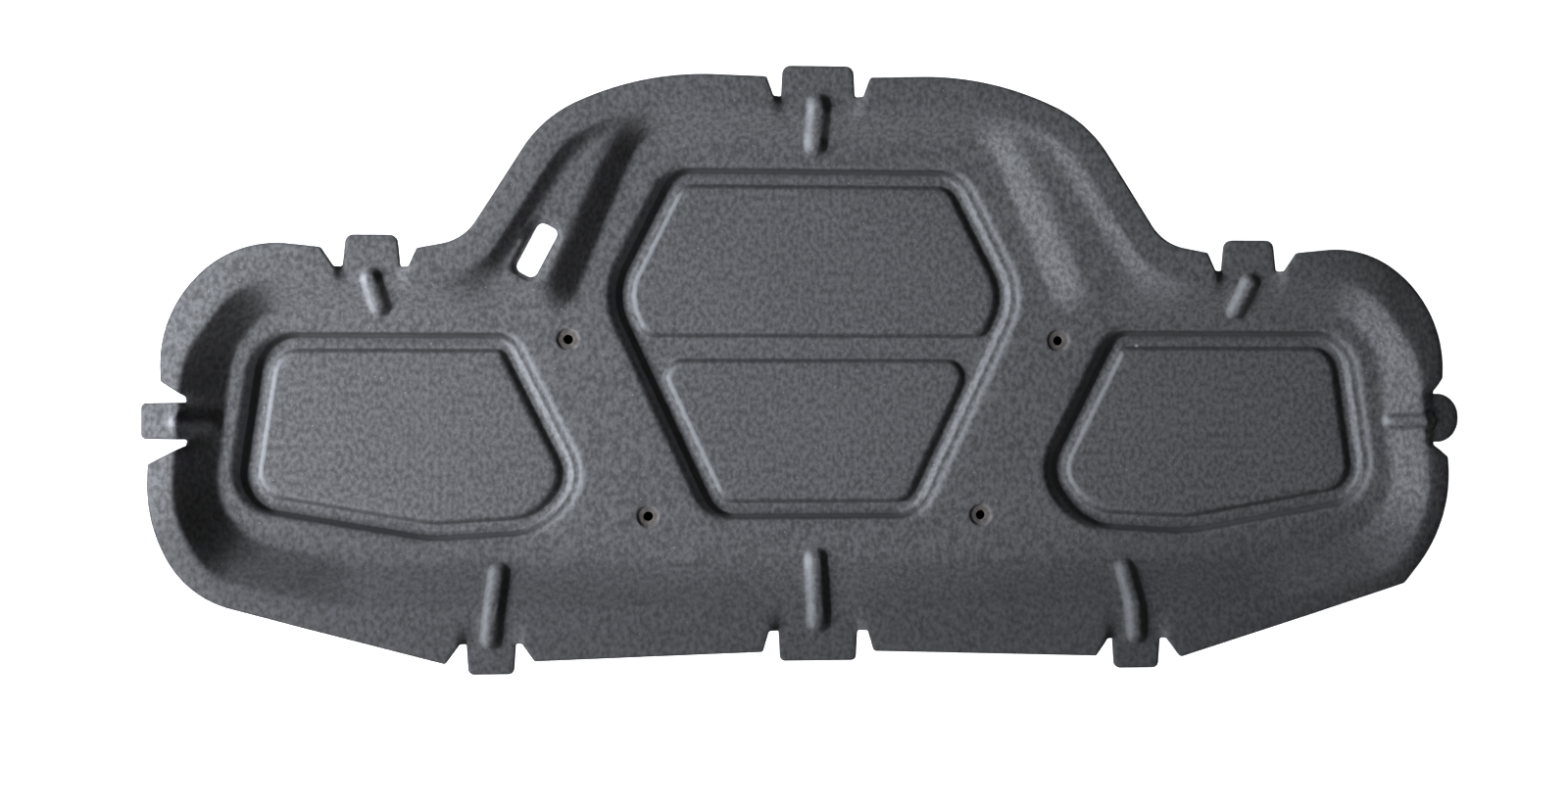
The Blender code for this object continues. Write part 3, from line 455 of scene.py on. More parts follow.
@dataclass
class Pocket(Feature):
    """A pocket sunk in the tray's floor: a wall with a ledge, a groove, and raised panels."""

    lip: Outline
    panels: list[Outline]
    depth: float = 0.010
    ledge_depth: float = 0.0038
    panel_rise: float = 0.0042
    upper_wall: tuple[float, float] = (0.0072, 0.0032)
    ledge: tuple[float, float] = (0.0020, 0.0006)
    lower_wall: tuple[float, float] = (0.0060, 0.0032)
    panel_step: tuple[float, float] = (0.0062, 0.0036)
    rounding: float = 0.0010
    lip_rounding: float = 0.0034
    panel_rounding: float = 0.0040
    lip_creases: tuple[float, ...] = (-1.0, -0.4, 0.2, 0.9)
    panel_creases: tuple[float, ...] = (0.0, 0.55, 1.0)
    on_ledge: tuple[float, float] = (0.0015, 0.0002)
    on_wall: tuple[float, float] = (0.0022, 0.0012)
    # Where and how strong the painted shade and painted highlights lie on the walls and panels.
    wall_shade_line: tuple[float, float] = (0.0078, 0.0049)
    panel_shade_line: tuple[float, float] = (0.0035, 0.0022)
    wall_shade_half: float = 0.0040
    panel_shade_half: float = 0.0026
    panel_line_shade: float = 0.8
    shaded_wall: Profile = ((-0.002, 0.002, 0.006, 0.015, 0.018), (0, 0.45, 1, 1, 0))
    lit_wall: Profile = (
        (-0.001, 0.001, 0.003, 0.0062, 0.0082, 0.0102, 0.0115, 0.014, 0.016),
        (0, 0.3, 0.6, 0.1, -0.7, 0.1, 0.5, 0.2, 0),
    )
    lit_panel: Profile = (
        (-0.001, 0.001, 0.0035, 0.006, 0.0085, 0.0102), (0, -0.25, -0.25, 0.9, 0.8, 0)
    )
    shaded_panel: Profile = ((-0.0015, 0.0025, 0.0055, 0.0105), (0, 1, 0.7, 0))

    def rings(self) -> list[Outline]:
        """The outlines that bound the walls and the ledge.

        Returns:
            The lip, the two edges of the ledge, and the foot.
        """
        ledge = self.lip.inset(*self.upper_wall)
        ledge_end = ledge.inset(*self.ledge)
        return [self.lip, ledge, ledge_end, ledge_end.inset(*self.lower_wall)]

    def creases(self) -> list[Outline]:
        """The outlines along which the pocket bends the sheet.

        Returns:
            The rings of the walls, and both edges of each panel's step.
        """
        lip, ledge, ledge_end, foot = self.rings()
        found = [lip.inset(self.lip_rounding * share) for share in self.lip_creases]
        found += [ledge, ledge.inset(*self.on_ledge), ledge_end, ledge_end.inset(*self.on_wall)]
        found += both_edges(foot, self.rounding)
        for panel in self.panels:
            top = panel.inset(*self.panel_step)
            # The line of each panel's painted shade also gets a crease, so that the mesh holds it.
            found += [*both_edges(panel, self.rounding), panel.inset(*self.panel_shade_line)]
            found += [top.inset(self.panel_rounding * share) for share in self.panel_creases]
        return found

    def fall(self, points: np.ndarray) -> np.ndarray:
        """How far the pocket lowers the sheet.

        Args:
            points: Places on the plan.

        Returns:
            The depth at each.
        """
        lip, ledge, ledge_end, foot = self.rings()
        fall = self.ledge_depth * slope(lip, ledge, points, self.lip_rounding, self.rounding)
        rest = self.depth - self.ledge_depth
        fall = fall + rest * slope(ledge_end, foot, points, self.rounding)
        for panel in self.panels:
            top = panel.inset(*self.panel_step)
            risen = slope(panel, top, points, self.rounding, self.panel_rounding)
            fall = fall - self.panel_rise * risen
        return fall

    def tone(self, points: np.ndarray) -> np.ndarray:
        """The painted highlight, above 0, or painted shade, below 0, at each point.

        The walls that face right, away from the lamps, get painted shade, those that face left get
        a painted highlight on both sides of the ledge, and those that run along the pad get a
        painted shade line at their foot.

        Args:
            points: Places on the plan.

        Returns:
            The tone of each, from -1 to 1.
        """
        facing_right, facing_left, level = facings(self.lip, points)
        depth = self.lip.depth(points)
        # Painted shade on the walls that face away from the lamps, painted highlight on those that
        # face them, and a painted shade line at the foot of level walls and panel steps.
        found = -facing_right * np.interp(depth, *self.shaded_wall)
        found += facing_left * np.interp(depth, *self.lit_wall)
        wall_foot = self.lip.inset(*self.wall_shade_line)
        found -= level * near_line(wall_foot, self.wall_shade_half, points)
        for panel in self.panels:
            facing_right, facing_left, level = facings(panel, points)
            depth = panel.depth(points)
            found += facing_right * np.interp(depth, *self.lit_panel)
            found -= facing_left * np.interp(depth, *self.shaded_panel)
            foot = panel.inset(*self.panel_shade_line)
            found -= self.panel_line_shade * level * near_line(foot, self.panel_shade_half, points)
        return np.clip(found, -1, 1)


@dataclass
class PocketLayout:
    """Places of the three pockets and of the panels inside them."""

    ring_to_panel: tuple[float, float] = (0.0205, 0.0175)
    hex_half: tuple[Corner, ...] = (
        Corner(0.1520, 0.2025, 0.041),
        Corner(0.2165, 0.0742, 0.075),
        Corner(0.1110, -0.1522, 0.041),
    )
    upper_panel_foot: Corner = Corner(0.1738, 0.0311, 0.018)
    lower_panel_top: Corner = Corner(0.1643, 0.0107, 0.020)
    wing_corners: tuple[Corner, ...] = (
        Corner(0.2956, 0.0415, 0.030),
        Corner(0.2220, -0.1047, 0.055),
        Corner(0.2621, -0.1620, 0.075),
        Corner(0.3812, -0.1691, 0.150),
        Corner(0.5802, -0.1343, 0.048),
        Corner(0.5544, 0.0415, 0.048),
    )
    left_drop: float = 0.004
    panel_end_inset: float = 0.001
    end_run: float = 0.1

    def wing_outline(self, side: Side, end_inset: float) -> Outline:
        """The outline of the pocket in one wing.

        Args:
            side: The wing's side.
            end_inset: How far the end moves inwards.

        Returns:
            The outline.
        """
        drop = self.left_drop if side is Side.LEFT else 0.0
        end = max(corner.x for corner in self.wing_corners) - self.end_run
        corners = []
        for corner in self.wing_corners:
            x = corner.x - (end_inset if corner.x > end else 0.0)
            corners.append(Corner(side.value * x, corner.y - drop, corner.radius))
        return Outline(corners)

    def pockets(self) -> list[Pocket]:
        """Builds the three pockets.

        Returns:
            The six-sided pocket with its two panels, and a pocket in each wing.
        """
        hexagon = symmetric(self.hex_half)
        inner = hexagon.inset(*self.ring_to_panel)
        top, waist, foot = sorted([c for c in inner.corners if c.x > 0], key=lambda c: -c.y)
        upper = symmetric([top, waist, self.upper_panel_foot])
        lower = symmetric([self.lower_panel_top, foot])
        found = [Pocket(hexagon, [upper, lower])]
        for side in Side:
            panel = self.wing_outline(side, self.panel_end_inset).inset(*self.ring_to_panel)
            found.append(Pocket(self.wing_outline(side, 0.0), [panel]))
        return found


@dataclass(frozen=True)
class Tab:
    """A tab of the trimmed edge, with a notch on both sides and a recess behind it."""

    tip: tuple[float, float]
    out: tuple[float, float]
    tip_half: float
    tip_radius: float
    root_half: float
    notch_depth: float
    notch_width: float
    before: tuple[float, float]
    after: tuple[float, float]
    beside_round: float = 0.003
    notch_round: float = 0.0025
    recess: float = 0.005
    wall: float = 0.008
    fade: float = 0.026
    rounding: float = 0.0020

    def mirror(self) -> "Tab":
        """The same tab on the other side of the pad."""
        return replace(self, tip=(-self.tip[0], self.tip[1]), out=(-self.out[0], self.out[1]))

    def ways(self) -> tuple[Vector, Vector, Vector]:
        """The tip, the outward direction and the clockwise direction along the edge."""
        out = Vector(self.out)
        return Vector(self.tip), out, Vector((out.y, -out.x))

    def corners(self) -> list[Corner]:
        """Works out the tab's part of the trimmed edge.

        Returns:
            The corners of the tab, its notches and the flange beside them, run clockwise.
        """
        tip, out, along = self.ways()
        notch = self.root_half + self.notch_width
        root_round = min(self.notch_round, self.notch_width / 3)
        steps = (
            (-notch - self.before[0], self.before[1], self.beside_round),
            (-notch, self.notch_depth, self.notch_round),
            (-self.root_half, self.notch_depth, root_round),
            (-self.tip_half, 0.0, self.tip_radius),
            (self.tip_half, 0.0, self.tip_radius),
            (self.root_half, self.notch_depth, root_round),
            (notch, self.notch_depth, self.notch_round),
            (notch + self.after[0], self.after[1], self.beside_round),
        )
        found = []
        for sideways, depth, radius in steps:
            point = tip + along * sideways - out * depth
            found.append(Corner(point.x, point.y, radius))
        return found

    def fall(self, points: np.ndarray) -> np.ndarray:
        """How far the recess behind the tab lowers the sheet.

        Args:
            points: Places on the plan.

        Returns:
            The fall at each.
        """
        tip, out, along = (np.array(v) for v in self.ways())
        away = points - tip
        sideways = np.abs(away @ along)
        inwards = -(away @ out)
        beside, behind = sideways - self.root_half, inwards - self.notch_depth
        across = eased(self.wall - beside, beside, self.rounding)
        down = eased(self.fade - behind, behind, self.rounding)
        return self.recess * across * down


@dataclass
class TrimmedEdge(Feature):
    """The cut edge of the sheet, with its eight tabs, and the drooping end flanges."""

    roll: float = 0.0009
    roll_reach: float = 0.0028
    roll_creases: tuple[float, ...] = (0.45, 1.0)
    droop: float = 0.17
    droop_from: float = 0.500
    droop_run: float = 0.090
    mouth: Outline = field(default_factory=lambda: Tray().mouth)
    crown_tab: Tab = Tab(
        tip=(0.0, 0.299), out=(0, 1), tip_half=0.035, tip_radius=0.008,
        root_half=0.0365, notch_depth=0.0305, notch_width=0.008,
        before=(0.007, 0.0115), after=(0.007, 0.0115),
    )
    wing_tab: Tab = Tab(
        tip=(0.4353, 0.1295), out=(0, 1), tip_half=0.0245, tip_radius=0.008,
        root_half=0.0277, notch_depth=0.031, notch_width=0.008,
        before=(0.008, 0.0130), after=(0.0125, 0.0125),
    )
    square_end_tab: Tab = Tab(
        tip=(0.655, -0.0515), out=(1, 0), tip_half=0.0175, tip_radius=0.005,
        root_half=0.018, notch_depth=0.043, notch_width=0.0055,
        before=(0.0145, 0.020), after=(0.018, 0.0075),
    )
    round_end_tab: Tab = Tab(
        tip=(0.655, -0.049), out=(1, 0), tip_half=0.0245, tip_radius=0.0235,
        root_half=0.0245, notch_depth=0.028, notch_width=0.003,
        before=(0.013, 0.019), after=(0.012, 0.0135),
    )
    foot_tab: Tab = Tab(
        tip=(0.320, -0.299), out=(0, -1), tip_half=0.022, tip_radius=0.006,
        root_half=0.024, notch_depth=0.030, notch_width=0.006,
        before=(0.014, 0.011), after=(0.012, 0.013),
    )
    foot_centre_tab: Tab = Tab(
        tip=(0.0, -0.2885), out=(0, -1), tip_half=0.0375, tip_radius=0.005,
        root_half=0.039, notch_depth=0.030, notch_width=0.010,
        before=(0.006, 0.0095), after=(0.006, 0.0095),
    )
    shoulder: tuple[Corner, ...] = (
        Corner(0.1740, 0.2910, 0.298),
        Corner(0.2710, 0.2440, 0.124),
        Corner(0.3465, 0.1250, 0.050),
    )
    wing_bend: tuple[Corner, ...] = (Corner(0.5610, 0.1250, 0.119), Corner(0.6380, 0.0560, 0.136))
    sharp_low_corner: tuple[Corner, ...] = (
        Corner(0.6480, -0.1500, 0.180),
        Corner(0.5960, -0.2160, 0.006),
    )
    round_low_corner: tuple[Corner, ...] = (
        Corner(0.6495, -0.1490, 0.170),
        Corner(0.6095, -0.2220, 0.110),
    )

    def _half(self, end_tab: Tab, low_corner: Sequence[Corner]) -> list[Corner]:
        """The corners of the edge on the right, after the crown tab, run clockwise."""
        found = [*self.shoulder, *self.wing_tab.corners(), *self.wing_bend]
        return found + [*end_tab.corners(), *low_corner, *self.foot_tab.corners()]

    @property
    def outline(self) -> Outline:
        """The sheet's trimmed outline.

        Returns:
            The whole outline: a square tab at the left end and a round one at the right.
        """
        right = self._half(self.round_end_tab, self.sharp_low_corner)
        left = mirrored(self._half(self.square_end_tab, self.round_low_corner))
        return Outline([*self.crown_tab.corners(), *right, *self.foot_centre_tab.corners(), *left])

    def tabs(self) -> list[Tab]:
        """Gathers all eight tabs.

        Returns:
            The tabs of the crown, the foot, the wings and the ends.
        """
        single = [self.crown_tab, self.foot_centre_tab, self.round_end_tab]
        pairs = [self.wing_tab, self.foot_tab]
        left = [tab.mirror() for tab in [*pairs, self.square_end_tab]]
        return [*single, *pairs, *left]

    def creases(self) -> list[Outline]:
        """Two outlines just inside the edge, where it rolls off."""
        return [self.outline.inset(self.roll_reach * share) for share in self.roll_creases]

    def fall(self, points: np.ndarray) -> np.ndarray:
        """How far the edge's forms lower the sheet.

        Args:
            points: Places on the plan.

        Returns:
            The fall at each: drooping end flanges, recesses behind the tabs and rolled-off edge.
        """
        outside = np.maximum(-self.mouth.depth(points), 0)
        near_end = np.clip((np.abs(points[:, 0]) - self.droop_from) / self.droop_run, 0, 1)
        fall = self.droop * outside * near_end
        for tab in self.tabs():
            fall = fall + tab.fall(points)
        near_edge = np.clip(1 - self.outline.depth(points) / self.roll_reach, 0, 1)
        return fall + self.roll * near_edge**2


@dataclass
class Bead(Feature):
    """A raised bead that runs from a tab down towards the tray's floor."""

    start: tuple[float, float]
    end: tuple[float, float]
    half_width: float
    height: float = 0.0065
    crest: float = 0.35
    flank_creases: tuple[float, ...] = (1.1, 0.95, 0.65)
    rounding: float = 0.0010
    # How the painted highlight and painted shade spread across a bead's flanks, and how strong
    # they are.
    flank: Profile = ((-0.15, 0.25, 0.5, 0.8), (0, 1, 0.8, 0))
    painted_highlight: float = 0.8
    flank_shade: float = 0.9
    end_shade: float = 0.8

    def outline(self, share: float) -> Outline:
        """The bead's outline at a share of its width.

        Args:
            share: The share.

        Returns:
            The outline.
        """
        start, end = Vector(self.start), Vector(self.end)
        half = self.half_width * share
        along = (end - start).normalized()
        return turned_box((start + end) / 2, along, (end - start).length / 2 + half, half, half)

    def creases(self) -> list[Outline]:
        """The foot, the middle and the crest of the bead's flanks."""
        return [self.outline(share) for share in (*self.flank_creases, self.crest)]

    def fall(self, points: np.ndarray) -> np.ndarray:
        """How far the bead lowers the sheet.

        Args:
            points: Places on the plan.

        Returns:
            Its height at each, below zero because it stands up.
        """
        start, end = np.array(self.start), np.array(self.end)
        span = end - start
        along = np.clip((points - start) @ span / (span @ span), 0, 1)
        gap = np.linalg.norm(points - start - along[:, None] * span, axis=1)
        crest = self.half_width * self.crest
        return -self.height * eased(self.half_width - gap, gap - crest, self.rounding)

    def tone(self, points: np.ndarray) -> np.ndarray:
        """The painted highlight, above 0, or painted shade, below 0, at each point.

        Args:
            points: Places on the plan.

        Returns:
            The tone of each: a painted highlight on the flank towards the lamps and painted shade
                on the others.
        """
        outline = self.outline(1.0)
        facing_right, facing_left, level = facings(outline, points)
        flank = np.interp(outline.depth(points) / self.half_width, *self.flank)
        # Painted highlight on the flank towards the lamps, painted shade on the flank away from
        # them and at the ends.
        shade = self.painted_highlight * facing_right - self.flank_shade * facing_left - self.end_shade * level
        return flank * shade


def beads() -> list[Bead]:
    """Places the eight beads.

    Returns:
        Two beads in the middle and three on each side.
    """
    middle = [
        Bead((0.0, 0.2600), (0.0, 0.2244), 0.012),
        Bead((0.0, -0.2490), (0.0, -0.1898), 0.012),
    ]
    right = [
        Bead((0.4353, 0.0860), (0.4293, 0.0613), 0.011),
        Bead((0.3200, -0.2640), (0.3135, -0.2018), 0.011),
        Bead((0.6195, -0.0525), (0.5906, -0.0525), 0.009),
    ]
    left = []
    for bead in right:
        start, end = (-bead.start[0], bead.start[1]), (-bead.end[0], bead.end[1])
        left.append(replace(bead, start=start, end=end))
    return middle + right + left


def turned_box(
    centre: Vector, along: Vector, half_length: float, half_width: float, radius: float
) -> Outline:
    """A rounded rectangle, turned to a direction.

    Args:
        centre: Its centre.
        along: The direction of its length.
        half_length: Half its length.
        half_width: Half its width.
        radius: The radius of its corners.

    Returns:
        The outline.
    """
    across = Vector((-along.y, along.x))
    corners = []
    for a, b in ((1, 1), (-1, 1), (-1, -1), (1, -1)):
        corner = centre + along * (half_length * a) + across * (half_width * b)
        corners.append(Corner(corner.x, corner.y, radius))
    return Outline(corners)


@dataclass
class ClipHole(Feature):
    """A hole for a push clip, in a round seat where the felt is pressed thin."""

    centre: tuple[float, float]
    radius: float = 0.0048
    seat_radius: float = 0.0090
    dimple_radius: float = 0.0118
    thinning: float = 0.0020
    rounding: float = 0.0008

    def ring(self, radius: float) -> Outline:
        """A round outline about the hole."""
        return turned_box(Vector(self.centre), Vector((1, 0)), radius, radius, radius)

    def creases(self) -> list[Outline]:
        """The edges of the seat and of the dimple round it."""
        seat, dimple = self.ring(self.seat_radius), self.ring(self.dimple_radius)
        return both_edges(seat, self.rounding) + both_edges(dimple, self.rounding)

    def fall(self, points: np.ndarray) -> np.ndarray:
        """How far the seat lies below the felt round it.

        Args:
            points: Places on the plan.

        Returns:
            The fall at each.
        """
        reach = np.linalg.norm(points - np.array(self.centre), axis=1)
        gone, left = self.dimple_radius - reach, reach - self.seat_radius
        return self.thinning * eased(gone, left, self.rounding)


@dataclass
class HandSlot(Feature):
    """The slot in the left shelf, with a narrow rim pressed thin round it."""

    centre: tuple[float, float] = (-0.2760, 0.1158)
    length: float = 0.0535
    width: float = 0.0215
    angle: float = math.radians(62)
    corner: float = 0.007
    rim: float = 0.0035
    rim_step: float = 0.0015
    thinning: float = 0.0020
    rounding: float = 0.0006

    def outline(self, margin: float = 0.0) -> Outline:
        """The slot's outline, or one outside it.

        Args:
            margin: How far outside the slot.

        Returns:
            The outline.
        """
        along = Vector((math.cos(self.angle), math.sin(self.angle)))
        half_length, half_width = self.length / 2 + margin, self.width / 2 + margin
        radius = self.corner + margin
        return turned_box(Vector(self.centre), along, half_length, half_width, radius)

    def creases(self) -> list[Outline]:
        """Both edges of the step round the rim."""
        return [self.outline(self.rim), self.outline(self.rim + self.rim_step)]

    def fall(self, points: np.ndarray) -> np.ndarray:
        """How far the rim lies below the shelf.

        Args:
            points: Places on the plan.

        Returns:
            The fall at each.
        """
        outside = -self.outline().depth(points)
        gone, left = self.rim + self.rim_step - outside, outside - self.rim
        return self.thinning * eased(gone, left, self.rounding)


def placed(name: str, data: bpy.types.ID) -> bpy.types.Object:
    """Puts a new object in the scene.

    Args:
        name: Its name.
        data: Its mesh, camera or lamp.

    Returns:
        The object.
    """
    made = bpy.data.objects.new(name, data)
    bpy.context.scene.collection.objects.link(made)
    return made


@dataclass
class FeltSheet:
    """The whole pad: one sheet of felt, trimmed, pierced and pressed to its relief."""

    thickness: float = 0.0045
    floor_front: float = 0.0445
    steepest_lean: float = 0.60
    chord: float = 0.0032
    fill: float = 0.0062
    clearance: float = 0.0030
    waviness: float = 0.00016
    wave_scale: float = 34.0
    fine_wave: float = 3.1
    fine_share: float = 0.45
    smoothing: float = 0.12
    wall_lean: float = 0.3
    edge_round: float = 0.0007
    # How far in from the cut edge the felt is made darker, and how much.
    edge_dark_reach: float = 0.0022
    edge_tone: float = 0.6
    edge: TrimmedEdge = field(default_factory=TrimmedEdge)
    tray: Tray = field(default_factory=Tray)
    pockets: list[Pocket] = field(default_factory=lambda: PocketLayout().pockets())
    beads: list[Bead] = field(default_factory=beads)
    slot: HandSlot = field(default_factory=HandSlot)
    clip_holes: list[ClipHole] = field(
        default_factory=lambda: [
            ClipHole((side.value * x, y))
            for x, y in ((0.2461, 0.0290), (0.1670, -0.1466))
            for side in Side
        ]
    )

    def forms(self) -> list[Feature]:
        """Every form that both faces of the sheet follow."""
        return [self.edge, self.tray, *self.pockets, *self.beads]

    def pressings(self) -> list[Feature]:
        """Every form that only thins the sheet from its front."""
        return [self.slot, *self.clip_holes]

    def cuts(self) -> list[Outline]:
        """The outlines that go right through the sheet."""
        return [self.slot.outline()] + [hole.ring(hole.radius) for hole in self.clip_holes]

    def _fill_points(self, taken: Sequence[Vector], cuts: Sequence[Outline]) -> list[Vector]:
        """Fills the sheet with points between its creases.

        Args:
            taken: The points of the creases and cuts.
            cuts: The outlines cut through the sheet.

        Returns:
            The points of a hexagonal lattice that are clear of both.
        """
        tree = KDTree(len(taken))
        for i, point in enumerate(taken):
            tree.insert(point.to_3d(), i)
        tree.balance()
        low = np.min([point[:] for point in taken], axis=0)
        high = np.max([point[:] for point in taken], axis=0)
        rows = np.arange(low[1], high[1], self.fill * math.sqrt(3) / 2)
        lattice = []
        for i, y in enumerate(rows):
            start = low[0] + self.fill / 2 * (i % 2)
            lattice += [(x, y) for x in np.arange(start, high[0], self.fill)]
        places = np.array(lattice)
        inside = self.edge.outline.depth(places) > self.clearance
        for cut in cuts:
            inside &= cut.depth(places) < -self.clearance
        found = [Vector(place) for place in places[inside]]
        return [p for p in found if tree.find(p.to_3d())[2] > self.clearance]

    def plan(self) -> bmesh.types.BMesh:
        """Draws the sheet's flat plan.

        Returns:
            The plan, as triangles whose edges follow every crease.
        """
        outer, cuts = self.edge.outline, self.cuts()
        outlines = [outer, *cuts]
        for feature in [*self.forms(), *self.pressings()]:
            outlines += feature.creases()
        points: list[Vector] = []
        edges: list[tuple[int, int]] = []
        for outline in outlines:
            line = outline.points(self.chord)
            first, count = len(points), len(line)
            points += line
            edges += [(first + k, first + (k + 1) % count) for k in range(count)]
        points += self._fill_points(points, cuts)
        points, _, faces, *_ = delaunay_2d_cdt(points, edges, [], 0, TINY * 10)
        places = np.array([point[:] for point in points])
        centres = np.array([places[list(face)].mean(axis=0) for face in faces])
        kept = outer.depth(centres) > 0
        for cut in cuts:
            kept &= cut.depth(centres) < 0
        bm = bmesh.new()
        verts = [bm.verts.new((point.x, point.y, 0.0)) for point in points]
        for face, keep in zip(faces, kept):
            if keep:
                bm.faces.new([verts[i] for i in face])
        loose = [vert for vert in bm.verts if not vert.link_faces]
        bmesh.ops.delete(bm, geom=loose, context="VERTS")
        bmesh.ops.remove_doubles(bm, verts=bm.verts, dist=self.chord / 12)
        return bm

    def _wave(self, x: float, y: float) -> float:
        """The slight unevenness of the felt at one place.

        Args:
            x: The place along the pad.
            y: The place across it.

        Returns:
            How far the felt stands out there.
        """
        place = Vector((x, y, 0.0)) * self.wave_scale
        broad = noise.noise(place)
        fine = noise.noise(place * self.fine_wave)
        return self.waviness * (broad + self.fine_share * fine)

    def build(self) -> bpy.types.Object:
        """Makes the pad's mesh and object.

        Returns:
            The finished piece, at the origin.
        """
        bm = self.plan()
        self._press(bm)
        front = list(bm.verts)
        self._thicken(bm, front)
        self._round_rims(bm, set(front))
        tone = self._tone(np.array([vert.co[:2] for vert in bm.verts]))
        bmesh.ops.recalc_face_normals(bm, faces=bm.faces)
        for face in bm.faces:
            face.smooth = True
        mesh = bpy.data.meshes.new("felt_sheet")
        bm.to_mesh(mesh)
        bm.free()
        mesh.attributes.new(TONE, "FLOAT", "POINT").data.foreach_set("value", tone)
        return placed("felt_sheet", mesh)

    def _press(self, bm: bmesh.types.BMesh) -> None:
        """Gives the flat plan its relief.

        Args:
            bm: The plan.
        """
        places = np.array([vert.co[:2] for vert in bm.verts])
        heights = np.full(len(places), self.floor_front)
        for form in self.forms():
            heights = heights - form.fall(places)
        for vert, height in zip(bm.verts, heights):
            vert.co.z = height + self._wave(vert.co.x, vert.co.y)
        bmesh.ops.smooth_vert(bm, verts=bm.verts, factor=self.smoothing, use_axis_z=True)
        bm.normal_update()

    def _thicken(self, bm: bmesh.types.BMesh, front: Sequence[bmesh.types.BMVert]) -> None:
        """Adds the back and the cut edges, and then thins the front where it is pressed.

        Args:
            bm: The front of the sheet.
            front: Its vertices.
        """
        drop = [self.thickness / max(vert.normal.z, self.steepest_lean) for vert in front]
        under = {vert.co.to_2d().freeze(): down for vert, down in zip(front, drop)}
        made = bmesh.ops.extrude_face_region(bm, geom=list(bm.faces))["geom"]
        for vert in (item for item in made if isinstance(item, bmesh.types.BMVert)):
            vert.co.z = max(vert.co.z - under[vert.co.to_2d().freeze()], 0.0)
        spots = np.array([vert.co[:2] for vert in front])
        for pressing in self.pressings():
            for vert, thinning in zip(front, pressing.fall(spots)):
                vert.co.z -= thinning

    def _tone(self, places: np.ndarray) -> np.ndarray:
        """The painted light and shade in the pockets and by the beads, and the darkening along the
        cut edge.

        Args:
            places: Places on the plan.

        Returns:
            The tone of each, from -1 for dark to 1 for light.
        """
        found = np.zeros(len(places))
        for form in [*self.pockets, *self.beads]:
            found += form.tone(places)
        # Darker along the cut edge.
        near_edge = np.clip(1 - self.edge.outline.depth(places) / self.edge_dark_reach, 0, 1)
        return np.clip(found - self.edge_tone * near_edge, -1, 1)

    def _round_rims(self, bm: bmesh.types.BMesh, front: set[bmesh.types.BMVert]) -> None:
        """Rounds the cut edges of the outline, the slot and the holes.

        Args:
            bm: The sheet.
            front: The vertices of its front.
        """
        rims = []
        for edge in bm.edges:
            walls = [face for face in edge.link_faces if abs(face.normal.z) < self.wall_lean]
            on_one_face = all(v in front for v in edge.verts) or not any(
                v in front for v in edge.verts
            )
            if len(walls) == 1 and on_one_face:
                rims.append(edge)
        bmesh.ops.bevel(
            bm, geom=rims, offset=self.edge_round, offset_type="OFFSET", segments=2, profile=0.5,
            affect="EDGES", clamp_overlap=True, material=-1,
        )


class Wire:
    """A shader socket that adds, subtracts and multiplies as a number does in Python."""

    def __init__(self, graph: "Graph", socket: bpy.types.NodeSocket) -> None:
        """Wraps one output socket of a graph."""
        self.graph = graph
        self.socket = socket

    def _math(self, operation: str, *values: "Wire | float") -> "Wire":
        """One Math node on this socket's graph."""
        return self.graph.node("ShaderNodeMath", {"operation": operation}, dict(enumerate(values)))

    def __add__(self, other: "Wire | float") -> "Wire":
        """This plus the other."""
        return self._math("ADD", self, other)

    def __sub__(self, other: "Wire | float") -> "Wire":
        """This less the other."""
        return self._math("SUBTRACT", self, other)

    def __rsub__(self, other: float) -> "Wire":
        """A number less this."""
        return self._math("SUBTRACT", other, self)

    def __mul__(self, other: "Wire | float") -> "Wire":
        """This times the other."""
        return self._math("MULTIPLY", self, other)


class Grain(NamedTuple):
    """One layer of noise in the felt, and its shares of the mottling and of the bump."""

    scale: float
    detail: float
    roughness: float
    mottling: float
    relief: float = 0.0


